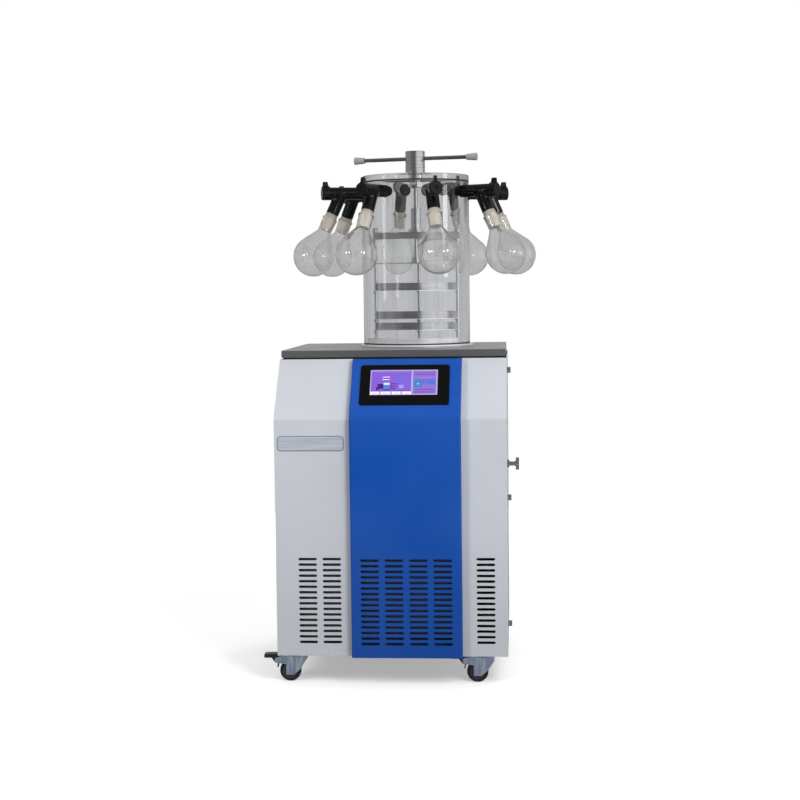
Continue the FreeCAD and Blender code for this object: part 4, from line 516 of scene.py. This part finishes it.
fields = [  # left, right, low, high in shares of the display, and its colour
    (0.00, 1.00, 0.00, 1.00, (0.42, 0.36, 0.62)),
    (0.015, 0.61, 0.15, 0.965, (0.205, 0.095, 0.560)),
    (0.015, 0.61, 0.905, 0.965, (0.26, 0.15, 0.62)),
    (0.36, 0.61, 0.35, 0.80, (0.170, 0.110, 0.600)),
    (0.015, 0.61, 0.15, 0.17, (0.09, 0.03, 0.30)),
    (0.635, 0.98, 0.045, 0.955, (0.235, 0.140, 0.560)),
    (0.66, 0.955, 0.79, 0.815, (0.10, 0.04, 0.32)), (0.66, 0.955, 0.865, 0.885, (0.12, 0.05, 0.34)),
    (0.66, 0.955, 0.665, 0.685, (0.32, 0.24, 0.66)), (0.66, 0.955, 0.615, 0.63, (0.11, 0.05, 0.34)),
    (0.65, 0.77, 0.30, 0.60, (0.045, 0.190, 0.480)), (0.69, 0.73, 0.41, 0.47, (0.25, 0.45, 0.70)),
    (0.86, 0.965, 0.40, 0.60, (0.055, 0.165, 0.60)), (0.77, 0.86, 0.44, 0.58, (0.16, 0.12, 0.56)),
    (0.66, 0.955, 0.20, 0.225, (0.10, 0.04, 0.32)), (0.66, 0.955, 0.095, 0.12, (0.10, 0.04, 0.32)),
    (0.18, 0.29, 0.70, 0.725, (0.90, 0.86, 0.98)), (0.18, 0.29, 0.60, 0.625, (0.90, 0.86, 0.98)),
    (0.19, 0.21, 0.725, 0.75, (0.06, 0.02, 0.20)), (0.25, 0.28, 0.625, 0.65, (0.06, 0.02, 0.20)),
    (0.11, 0.20, 0.24, 0.44, (0.035, 0.006, 0.17)), (0.09, 0.13, 0.20, 0.30, (0.035, 0.006, 0.17)),
    (0.20, 0.29, 0.40, 0.48, (0.52, 0.78, 0.92)), (0.20, 0.29, 0.22, 0.38, (0.07, 0.19, 0.58)),
    (0.20, 0.29, 0.19, 0.22, (0.02, 0.01, 0.16)),
    (0.29, 0.40, 0.42, 0.46, (0.20, 0.01, 0.26)), (0.29, 0.40, 0.33, 0.37, (0.16, 0.01, 0.24)),
    (0.29, 0.38, 0.24, 0.28, (0.12, 0.01, 0.22)),
    (0.43, 0.50, 0.26, 0.40, (0.34, 0.27, 0.74)),
    (0.01, 0.135, 0.02, 0.125, (0.86, 0.82, 0.92)), (0.165, 0.30, 0.02, 0.125, (0.86, 0.82, 0.92)),
    (0.33, 0.455, 0.02, 0.125, (0.86, 0.82, 0.92)), (0.485, 0.61, 0.02, 0.125, (0.86, 0.82, 0.92)),
    (0.04, 0.11, 0.055, 0.075, (0.30, 0.22, 0.55)), (0.195, 0.27, 0.055, 0.075, (0.30, 0.22, 0.55)),
    (0.36, 0.43, 0.055, 0.075, (0.30, 0.22, 0.55)), (0.515, 0.58, 0.055, 0.075, (0.30, 0.22, 0.55)),
]
spans = np.array([f[:4] for f in fields])
wide, tall = high.x - low.x - 0.0004, 0.0716
first_level, level_step = 0.00045, 0.000012
u = (spans[:, [0, 1, 1, 0]] - 0.5) * wide
v = (spans[:, [2, 2, 3, 3]] - 0.5) * tall
level = first_level + np.arange(len(fields))[:, None] * level_step + u * 0
spots = (np.array(glass_middle) + u[..., None] * np.array(across) + v[..., None] * np.array(rise)
         + level[..., None] * np.array(screen_normal)).reshape(-1, 3)
display_mesh = bpy.data.meshes.new("display_fields")
display_mesh.from_pydata(spots.tolist(), [], np.arange(len(spots)).reshape(-1, 4).tolist())
paint = display_mesh.color_attributes.new("field", "FLOAT_COLOR", "POINT")
paint.data.foreach_set("color", np.repeat(np.array([(*f[4], 1) for f in fields]), 4, 0).ravel())
display_mesh.materials.append(display)
display_fields = bpy.data.objects.new("display_fields", display_mesh)
bpy.context.scene.collection.objects.link(display_fields)
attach(display_fields, "cabinet")
dress("hmi_screen", moulded("display_glass", (0.02, 0.015, 0.04), (0.02, 0.015, 0.04), sheen=0.08,
                            strength=0.0))

# ---------------------------------------------------------------------------------------------
# Nameplate: a blank satin aluminium plate with a fine raised rim and a blue-grey edge,
# glued to the left skin.
# ---------------------------------------------------------------------------------------------
def rounded_plate(wide, tall, corner, rows, steps=14):
    """A flat rounded form. Each row (inset, height) is the plate's outline drawn in by the inset
    and raised by the height: a rectangle whose corners are quarter circles about four centres.
    The first and last rows are closed with one face each."""
    quarter = np.linspace(0, pi / 2, steps)
    turns = np.concatenate([quarter + k * pi / 2 for k in range(4)])
    side = np.repeat([[1, 1], [-1, 1], [-1, -1], [1, -1]], steps, 0)
    centre = side * np.array([wide / 2 - corner, tall / 2 - corner])
    rings = [np.column_stack([centre + (corner - inset) * np.column_stack([np.cos(turns), np.sin(turns)]),
                              np.full(len(turns), height)]) for inset, height in rows]
    count, around = len(rows), 4 * steps
    k, a = np.meshgrid(np.arange(count - 1), np.arange(around), indexing="ij")
    here, beside = k * around + a, k * around + (a + 1) % around
    faces = np.stack([here, beside, beside + around, here + around], 2)
    ends = [list(range(around))[::-1], list(range((count - 1) * around, count * around))]
    return np.concatenate(rings), faces.reshape(-1, 4).tolist() + ends


low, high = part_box("nameplate")
plate_thick, plate_corner = high.y - low.y, 0.009
plate_place = Matrix.Translation(((low.x + high.x) / 2, high.y, (low.z + high.z) / 2))
plate_form = rounded_plate(high.x - low.x, high.z - low.z, plate_corner, [
    (0.0002, 0.0), (0.0, 0.0002), (0.0, plate_thick - 0.0003), (0.0003, plate_thick), (0.0016, plate_thick),
    (0.0020, plate_thick - 0.0006), (0.0042, plate_thick - 0.0006)])
plate_finish = machined("nameplate_aluminium", (0.60, 0.65, 0.73), run=(0.02, 1.0, 1.0), sheen=0.42,
                        lines=0.2, metallic=0.35)
tree = plate_finish.node_tree
depth = add(tree, "SeparateXYZ", Vector=on_piece(tree)).outputs[1]
raised = reach(tree, depth, low.y + 0.0004, low.y + 0.0001, 0.0, 1.0)
tinted(plate_finish, raised, (0.22, 0.27, 0.36, 1))
upright_plate = plate_place @ Matrix.Rotation(pi / 2, 4, "X")
nameplate = piece("nameplate_blank", [(moved(plate_form, upright_plate), plate_finish)], crease=20)
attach(nameplate, "cabinet")
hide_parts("nameplate")

# ---------------------------------------------------------------------------------------------
# Side fittings: turned thumb screws, the drain valve with its knob, and at the back the
# mains inlet with its switch and the pump's port.
# ---------------------------------------------------------------------------------------------
turned_steel = machined("turned_steel", (0.42, 0.425, 0.44), run=(1.0, 0.02, 0.02), sheen=0.22)
for fitting in ("side_screws", "drain_valve", "drain_knob"):
    dress(fitting, turned_steel)
dress("vacuum_port", machined("port_steel", (0.66, 0.67, 0.69), run=(0.02, 1.0, 0.02), sheen=0.18))
fitting_black = moulded("fitting_black", (0.018, 0.018, 0.020), (0.07, 0.07, 0.07), sheen=0.36)
for fitting in ("power_inlet", "power_switch"):
    dress(fitting, fitting_black)

# ---------------------------------------------------------------------------------------------
# Chamber seat: a turned stainless ring on the trap's lip, whose collar centres the chamber,
# and flat black rubber rings under and over the cylinder.
# ---------------------------------------------------------------------------------------------
low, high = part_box("chamber_cylinder")
axis_x, axis_y = (low.x + high.x) / 2, (low.y + high.y) / 2
upright = Matrix.Translation((axis_x, axis_y, 0))
ring_steel = machined("ring_steel", (0.80, 0.81, 0.82), sheen=0.14, metallic=0.3)
dress("trap_flange", ring_steel)
gasket_rubber = moulded("gasket_rubber", (0.022, 0.022, 0.024), (0.06, 0.06, 0.06), sheen=0.5)
dress("chamber_gaskets", gasket_rubber)

# ---------------------------------------------------------------------------------------------
# Rack: three stainless rods on a ring, with thin shelves and shallow round trays, under
# a flanged sleeve that guides the press rod.
# ---------------------------------------------------------------------------------------------
rod_steel = machined("rod_steel", (0.80, 0.81, 0.82), run=(0.05, 0.05, 1.0), sheen=0.14, lines=0.4,
                     strength=0.03)
for part in ("rack_rods", "press_rod", "press_plate"):
    dress(part, rod_steel)
low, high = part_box("guide_sleeve")
sleeve_radius, flange_top = 0.0125, low.z + 0.007
flange_radius, sleeve_bore = (high.x - low.x) / 2, 0.0053
ribs, rib_depth, plain_end = 39, 0.00015, 0.0015
levels = np.linspace(flange_top + plain_end, high.z - plain_end, ribs)
ribbed = np.stack([sleeve_radius - rib_depth * (np.arange(ribs) % 2), levels], 1)
sleeve_rows = np.concatenate([
    [(sleeve_bore, low.z), (flange_radius, low.z), (flange_radius, flange_top),
     (sleeve_radius, flange_top)], ribbed, [(sleeve_radius, high.z), (sleeve_bore, high.z)]])
sleeve = piece("ribbed_sleeve", [(moved(lathe(sleeve_rows, 64, True), upright), rod_steel)])
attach(sleeve, "cabinet")
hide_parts("guide_sleeve")
dress("rack_base", machined("foot_steel", (0.86, 0.87, 0.89), sheen=0.10, lines=0.3, strength=0.02))
dress("rack_shelves", machined("shelf_steel", (0.95, 0.95, 0.96), sheen=0.08, lines=0.3, strength=0.02,
                               metallic=0.35))
tray_steel = machined("tray_steel", (0.60, 0.605, 0.635), sheen=0.14, lines=0.6)
dress("sample_trays", tray_steel)

# ---------------------------------------------------------------------------------------------
# Chamber: a clear acrylic cylinder turned at both ends, with a thick clear lid whose
# spigot drops into it. Inside, the rack's rods carry a turned steel top plate.
# ---------------------------------------------------------------------------------------------
smudge, given, out = effect("handled_film", {"Sheen": 0.01, "Film": 0.03}, ["Roughness", "Height"])
place = on_piece(smudge)
wiped = reach(smudge, noise(smudge, place, 18.0, 6.0, Distortion=0.6), 0.52, 0.75, 0.0, 1.0)
haze = maths(smudge, "MULTIPLY", wiped, given.outputs["Film"])
smudge.links.new(maths(smudge, "ADD", haze, given.outputs["Sheen"]), out.inputs["Roughness"])
smudge.links.new(noise(smudge, place, 30.0, 2.0), out.inputs["Height"])


def clear(name, colour, ior, film=0.03, ripple=0.02, streak_scale=(20.0, 20.0, 20.0), width=0.02, shade=0.8):
    """Clear glass or acrylic with a faint film of handling, the slight ripple of its surface and thin lines
    of a shade where a noise passes its middle: painted dark reflections, standing for the streaks that thick,
    uneven glass mirrors from its surroundings."""
    made, tree, shader = finish_of(name, Transmission_Weight=1.0, IOR=ior)
    spread = add(tree, "Mapping", Vector=on_piece(tree), Scale=streak_scale).outputs[0]
    away = maths(tree, "SUBTRACT", noise(tree, spread, 1.0, 0.0), 0.5)
    # Thin darker lines in the tint: painted dark reflections.
    painted_streak = reach(tree, maths(tree, "ABSOLUTE", away), 0.0, width, 1.0, 0.0)
    dim = tuple(part * shade for part in colour)
    tree.links.new(blend(tree, painted_streak, (*colour, 1), (*dim, 1)), shader.inputs["Base Color"])
    laid_on(tree, shader, smudge, ripple, 0.001, Film=film)
    lamps = add(tree, "BsdfTransparent", Color=(0.93, 0.93, 0.93, 1))
    both = add(tree, "MixShader", Fac=add(tree, "LightPath").outputs["Is Shadow Ray"], n1=shader.outputs[0],
               n2=lamps.outputs[0])
    tree.links.new(both.outputs[0], tree.nodes["Material Output"].inputs["Surface"])
    return made


acrylic = clear("acrylic", (0.98, 0.985, 0.985), 1.49, ripple=0.04, streak_scale=(34.0, 34.0, 0.7), width=0.05,
                shade=0.88)
wall_in, wall_out = 0.1243, 0.1323
low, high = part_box("chamber_cylinder")
cylinder_rows = eased([(wall_in, low.z, 0), (wall_out, low.z, 0.0008), (wall_out, high.z, 0.0008),
                       (wall_in, high.z, 0.0008), (wall_in, low.z + 0.02, 0)])
cylinder = piece("chamber_cylinder_clear", [(moved(lathe(cylinder_rows, 192, True), upright), acrylic)])
tank_parts.objects.link(cylinder)
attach(cylinder, "cabinet")
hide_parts("chamber_cylinder")

low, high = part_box("chamber_lid")
lid_bore, spigot, spigot_top = 0.01205, 0.1238, low.z + 0.009
lid_rows = eased([
    (lid_bore, low.z, 0), (spigot, low.z, 0.001), (spigot, spigot_top, 0), (wall_out, spigot_top, 0.0008),
    (wall_out, high.z, 0.0012), (lid_bore, high.z, 0.0005), (lid_bore, low.z + 0.004, 0)])
lid = piece("chamber_lid_clear", [(moved(lathe(lid_rows, 192, True), upright), acrylic)])
tank_parts.objects.link(lid)
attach(lid, "cabinet")
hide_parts("chamber_lid")

low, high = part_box("rack_top_plate")
plate_steel = machined("plate_steel", (0.50, 0.505, 0.51), sheen=0.24)
disc_bore, disc_radius = 0.0055, 0.1075
disc_rows = eased([
    (disc_bore, low.z, 0), (disc_radius, low.z, 0.0006), (disc_radius, high.z, 0.0006),
    (disc_bore, high.z, 0.0004), (disc_bore, low.z + 0.002, 0)])
disc = piece("rack_plate_disc", [(moved(lathe(disc_rows, 144, True), upright), plate_steel)])
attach(disc, "cabinet")
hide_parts("rack_top_plate")

# ---------------------------------------------------------------------------------------------
# Press: a turned stainless hub over the lid with a long bar through it, capped with grey
# grips. Turning it drives the rod down on the stoppers.
# ---------------------------------------------------------------------------------------------
hub_steel = machined("hub_steel", (0.60, 0.60, 0.605), sheen=0.20, lines=0.2, strength=0.02)
low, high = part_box("press_head")
hub_radius, spindle, thread = 0.0243, 0.012, 0.00505
hub_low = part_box("chamber_lid")[1].z + 0.0003
hub_rows = eased([
    (0, high.z, 0), (hub_radius, high.z, 0.0016), (hub_radius, hub_low, 0.0006), (spindle, hub_low, 0),
    (spindle, low.z, 0.0005), (thread, low.z, 0), (thread, hub_low + 0.010, 0), (0, hub_low + 0.010, 0)])
hub = piece("press_hub", [(moved(lathe(hub_rows, 120), upright), hub_steel)])
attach(hub, "press_head")
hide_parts("press_head")

bar_low, bar_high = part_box("t_bar")
bar_middle = (bar_low + bar_high) / 2
bar_way = (Matrix.Rotation(radians(-14), 3, "Z") @ Vector((1, 0, 0))).normalized()
bar_half, bar_radius = 0.1545, 0.00475
bar_rows = eased([(0, -bar_half, 0), (bar_radius, -bar_half, 0.0005), (bar_radius, bar_half, 0.0005),
                  (0, bar_half, 0)])
bar_steel = machined("bar_steel", (0.36, 0.36, 0.37), run=(1.0, 0.2, 0.02), sheen=0.20, lines=0.2,
                     strength=0.02)
bar = piece("press_bar", [(moved(lathe(bar_rows, 40), along(bar_way, bar_middle)), bar_steel)])
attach(bar, "press_head")
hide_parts("t_bar")

grip_plastic = moulded("grip_plastic", (0.31, 0.31, 0.31), (0.38, 0.38, 0.37), sheen=0.45, grain=1000.0,
                       wear=0.4)
grip_bore, grip_start, grip_end, grip_floor = 0.0048, 0.1325, 0.1585, 0.1546
grip_rows = eased([
    (grip_bore, grip_start, 0), (0.0074, grip_start, 0.0005), (0.0094, grip_end, 0.0008), (0, grip_end, 0),
    (0, grip_floor, 0), (grip_bore, grip_floor, 0)])
grips = piece("press_grips", [(moved(lathe(grip_rows, 56, True), along(way, bar_middle)), grip_plastic)
                              for way in (bar_way, -bar_way)])
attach(grips, "press_head")
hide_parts("t_bar_caps")
dress("spindle_nut", rod_steel)

# ---------------------------------------------------------------------------------------------
# Port valves: eight black moulded valves plugged through the chamber's wall, each a round
# barrel and a leg that leans outwards, with a quarter-turn plug that has one upright fin.
# ---------------------------------------------------------------------------------------------
port_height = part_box("valve_bodies")[1].z - 0.015
ports = [15.5 + 45 * n for n in range(8)]
leg_root, leg_tilt, leg_length = 0.1863, radians(25), 0.056


def at_port(angle):
    """The matrix from a port's own frame, pointing along -Y, to its place round the chamber."""
    return Matrix.Translation((axis_x, axis_y, port_height)) @ Matrix.Rotation(radians(angle), 4, "Z")


def on_leg(angle):
    """The matrix from a leg's own frame, with the leg running down -Z, to its port."""
    return at_port(angle) @ Matrix.Translation((0, -leg_root, 0)) @ Matrix.Rotation(-leg_tilt, 4, "X")


def rod_distance(points, start, end, radius, ease):
    """Distance from a round rod with eased ends: the point's distance off the axis and along
    it, each past the rod's size less the ease, taken together, less the ease."""
    start, end = np.array(start), np.array(end)
    length = np.linalg.norm(end - start)
    way = (end - start) / length
    off = points - start
    along_it = off @ way
    radial = np.linalg.norm(off - along_it[:, None] * way, axis=1)
    d = np.stack([radial - radius + ease, np.abs(along_it - length / 2) - length / 2 + ease], 1)
    return np.linalg.norm(np.maximum(d, 0), axis=1) + np.minimum(d.max(1), 0) - ease


def melt(one, other, span):
    """Smooth union: the lower of two distances, less h squared over four spans, where h is
    how much closer than the span they are to each other."""
    h = np.maximum(span - np.abs(one - other), 0)
    return np.minimum(one, other) - h * h / (4 * span)


def cast(parts, distance, grain):
    """A moulded form: the parts are joined into one skin of small quads, and each point then
    slides along the distance field's slope until its distance is nought."""
    rough = piece("rough_form", [(part, None) for part in parts])
    skin = rough.modifiers.new("skin", "REMESH")
    skin.mode, skin.voxel_size, skin.adaptivity = "VOXEL", grain, 0.0
    mesh = rough.evaluated_get(bpy.context.evaluated_depsgraph_get()).to_mesh()
    points = np.empty(len(mesh.vertices) * 3)
    mesh.vertices.foreach_get("co", points)
    points = points.reshape(-1, 3)
    faces = np.array([tuple(p.vertices) for p in mesh.polygons])
    bpy.data.objects.remove(rough)
    step = 1e-5
    for _ in range(6):
        here = distance(points)
        slope = np.stack([distance(points + step * np.eye(3)[k]) - here for k in range(3)], 1) / step
        points = points - here[:, None] * slope / np.maximum((slope ** 2).sum(1), 0.25)[:, None]
    return points, faces


def rod(start, end, radius, steps=48):
    """A plain round rod between two points, as a closed part."""
    start, end = Vector(start), Vector(end)
    rows = [(0, 0), (radius, 0), (radius, (end - start).length), (0, (end - start).length)]
    return moved(lathe(rows, steps), along(end - start, start))


leg_way = np.array((0, -np.sin(leg_tilt), -np.cos(leg_tilt)))
leg_start = np.array((0, -leg_root, 0.0))
leg_end = leg_start + leg_way * leg_length
barrel_ends = ((0, -0.1326, 0), (0, -0.2130, 0))
neck_ends = ((0, -0.1173, 0), (0, -0.1400, 0))
lip_ends = ((0, -0.1173, 0), (0, -0.1233, 0))
barrel_radius, leg_radius, neck_radius, lip_radius = 0.0150, 0.0155, 0.0095, 0.0120


def valve_distance(points):
    """The barrel melted into the leg, with the neck and the inner lip as plain unions."""
    barrel = rod_distance(points, *barrel_ends, barrel_radius, 0.0012)
    leg = rod_distance(points, leg_start + leg_way * 0.004, leg_end, leg_radius, 0.0014)
    neck = rod_distance(points, *neck_ends, neck_radius, 0.0005)
    lip = rod_distance(points, *lip_ends, lip_radius, 0.0012)
    return np.minimum(np.minimum(melt(barrel, leg, 0.006), neck), lip)


valve_rubber = moulded("valve_rubber", (0.003, 0.003, 0.0032), (0.008, 0.008, 0.008), sheen=0.12, grain=700.0,
                       wear=0.2, strength=0.03, gloss=0.25)
valve_form = cast([rod(*barrel_ends, barrel_radius), rod(leg_start, leg_end, leg_radius),
                   rod(*neck_ends, neck_radius), rod(*lip_ends, lip_radius)], valve_distance, 0.0016)
valves = piece("valve_set", [(moved(valve_form, at_port(a)), valve_rubber) for a in ports], crease=60)
glints_on_ports.objects.link(valves)
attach(valves, "cabinet")
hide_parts("valve_bodies")

knob_in, knob_out, cap_radius = 0.2133, 0.2353, 0.0165
knob_ends = ((0, -knob_in, 0), (0, -knob_out, 0))
fin_middle, fin_height, fin_half = (knob_in + knob_out) / 2, 0.0285, 0.0035
fin_narrows, foot_half, top_half, fin_lean, fin_ease = 0.00825, 0.00925, 0.0055, 0.001875, 0.0008


def knob_distance(points):
    """A round cap melted into a fin that narrows as it rises, with a round dimple in its face."""
    cap = rod_distance(points, *knob_ends, cap_radius, 0.0022)
    up = np.clip((points[:, 2] - fin_narrows) / (fin_height - fin_narrows), 0, 1)
    leaned = points + up[:, None] * np.array((0, fin_lean, 0))
    narrow = foot_half + (top_half - foot_half) * up
    d = np.stack([np.abs(leaned[:, 0]) - fin_half, np.abs(leaned[:, 1] + fin_middle) - narrow,
                  np.abs(leaned[:, 2] - fin_height / 2) - fin_height / 2], 1) + fin_ease
    fin = np.linalg.norm(np.maximum(d, 0), axis=1) + np.minimum(d.max(1), 0) - fin_ease
    dimple = rod_distance(points, (0, -knob_out - 0.004, 0), (0, -knob_out + 0.006, 0), 0.0045, 0.001)
    return -melt(-melt(cap, fin, 0.004), dimple, 0.0015)


valve_plastic = moulded("valve_plastic", (0.003, 0.003, 0.0032), (0.008, 0.008, 0.008), sheen=0.10,
                        grain=900.0, wear=0.2, strength=0.02, gloss=0.30)
fin_edges = [(-foot_half, 0), (-top_half - fin_lean, fin_height), (foot_half, 0),
             (top_half - fin_lean, fin_height)]
fin_box = np.array([(x, y - fin_middle, z) for x in (-fin_half, fin_half) for y, z in fin_edges])
fin_faces = np.array([(0, 1, 3, 2), (4, 6, 7, 5), (0, 4, 5, 1), (2, 3, 7, 6), (0, 2, 6, 4), (1, 5, 7, 3)])
knob_form = cast([rod(*knob_ends, cap_radius), (fin_box, fin_faces)], knob_distance, 0.0012)
for number, angle in enumerate(ports, start=1):
    knob = piece(f"valve_plug_{number}", [(moved(knob_form, at_port(angle)), valve_plastic)], crease=60)
    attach(knob, f"valve_knob_{number}")
    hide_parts(f"valve_knob_{number}")

# ---------------------------------------------------------------------------------------------
# Stoppers: beige silicone plugs with three rolled ribs above the glass, pushed into
# the valves' legs.
# ---------------------------------------------------------------------------------------------
silicone = moulded("silicone", (0.365, 0.330, 0.288), (0.43, 0.395, 0.35), sheen=0.42, grain=600.0, wear=0.5)
rib = np.linspace(0, 1, 25)
rib_radius = 0.0150 + 0.0012 * rib - 0.0007 * (np.cos(rib * 6 * pi) * 0.5 + 0.5) * (rib < 0.9)
stopper_rows = np.concatenate([
    [(0.006, -0.0562), (0.0146, -0.0562)],
    np.stack([rib_radius, -0.0566 - 0.0104 * rib], 1),
    [(0.0162, -0.0671), (0.0137, -0.0990), (0.0130, -0.1000), (0.006, -0.1000)]])
stoppers = piece("stopper_set", [(moved(lathe(stopper_rows, 56, True), on_leg(a)), silicone) for a in ports])
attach(stoppers, "cabinet")
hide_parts("flask_stoppers")

# ---------------------------------------------------------------------------------------------
# Flasks: pear-shaped blown glass about a millimetre and a half thick, with a beaded rim,
# pushed over the stoppers and held by the vacuum.
# ---------------------------------------------------------------------------------------------
flask_glass = clear("flask_glass", (0.975, 0.975, 0.97), 1.47, film=0.01, ripple=0.6, streak_scale=(26, 26, 7),
                    width=0.011, shade=0.85)
bulb, bulb_centre, bulb_wall = 0.0495, -0.169, 0.0014
neck, neck_end, neck_wall, rim_at = 0.0168, -0.104, 0.0016, -0.067


def pear(bulb_radius, neck_radius, mouth_radius, start):
    """Half section from the mouth down: a straight neck, a straight shoulder that leaves the
    neck's end and touches the bulb, and the bulb's circle down to its lowest point."""
    up = neck_end - bulb_centre
    far = np.hypot(neck_radius, up)
    touch = np.arctan2(neck_radius, up) + np.arccos(bulb_radius / far)
    around = np.linspace(touch, pi, 44)
    shoulder = np.linspace(0, 1, 8)[:, None]
    meet = np.array([bulb_radius * np.sin(touch), bulb_centre + bulb_radius * np.cos(touch)])
    first = np.array([neck_radius, neck_end])
    hip = first + (meet - first) * shoulder
    hip[0] = first + (meet - first) * 0.02
    arc = np.stack([bulb_radius * np.sin(around), bulb_centre + bulb_radius * np.cos(around)], 1)
    arc[-1, 0] = 0
    neck_rows = np.linspace((mouth_radius, start), (neck_radius, neck_end + 0.002), 9)
    return np.concatenate([neck_rows, hip, arc[1:]])


mouth_out, mouth_in, bead_radius = 0.0178, 0.01632, 0.0190
outside = pear(bulb, neck, mouth_out, rim_at - 0.0035)
inside = pear(bulb - bulb_wall, neck - neck_wall, mouth_in, rim_at - 0.0002)
bead = eased([(mouth_out, rim_at - 0.0034, 0), (bead_radius, rim_at - 0.0030, 0.0008),
              (bead_radius, rim_at, 0.0012), (mouth_in, rim_at, 0.0006), (mouth_in, rim_at - 0.0002, 0)])
flask_rows = np.concatenate([outside[::-1], bead[1:-1], inside])
flasks = [(moved(lathe(flask_rows, 72), on_leg(a)), flask_glass) for a in ports]
flask_set = piece("flask_set", flasks, crease=50)
glints_on_ports.objects.link(flask_set)
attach(flask_set, "cabinet")
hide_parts("flasks")
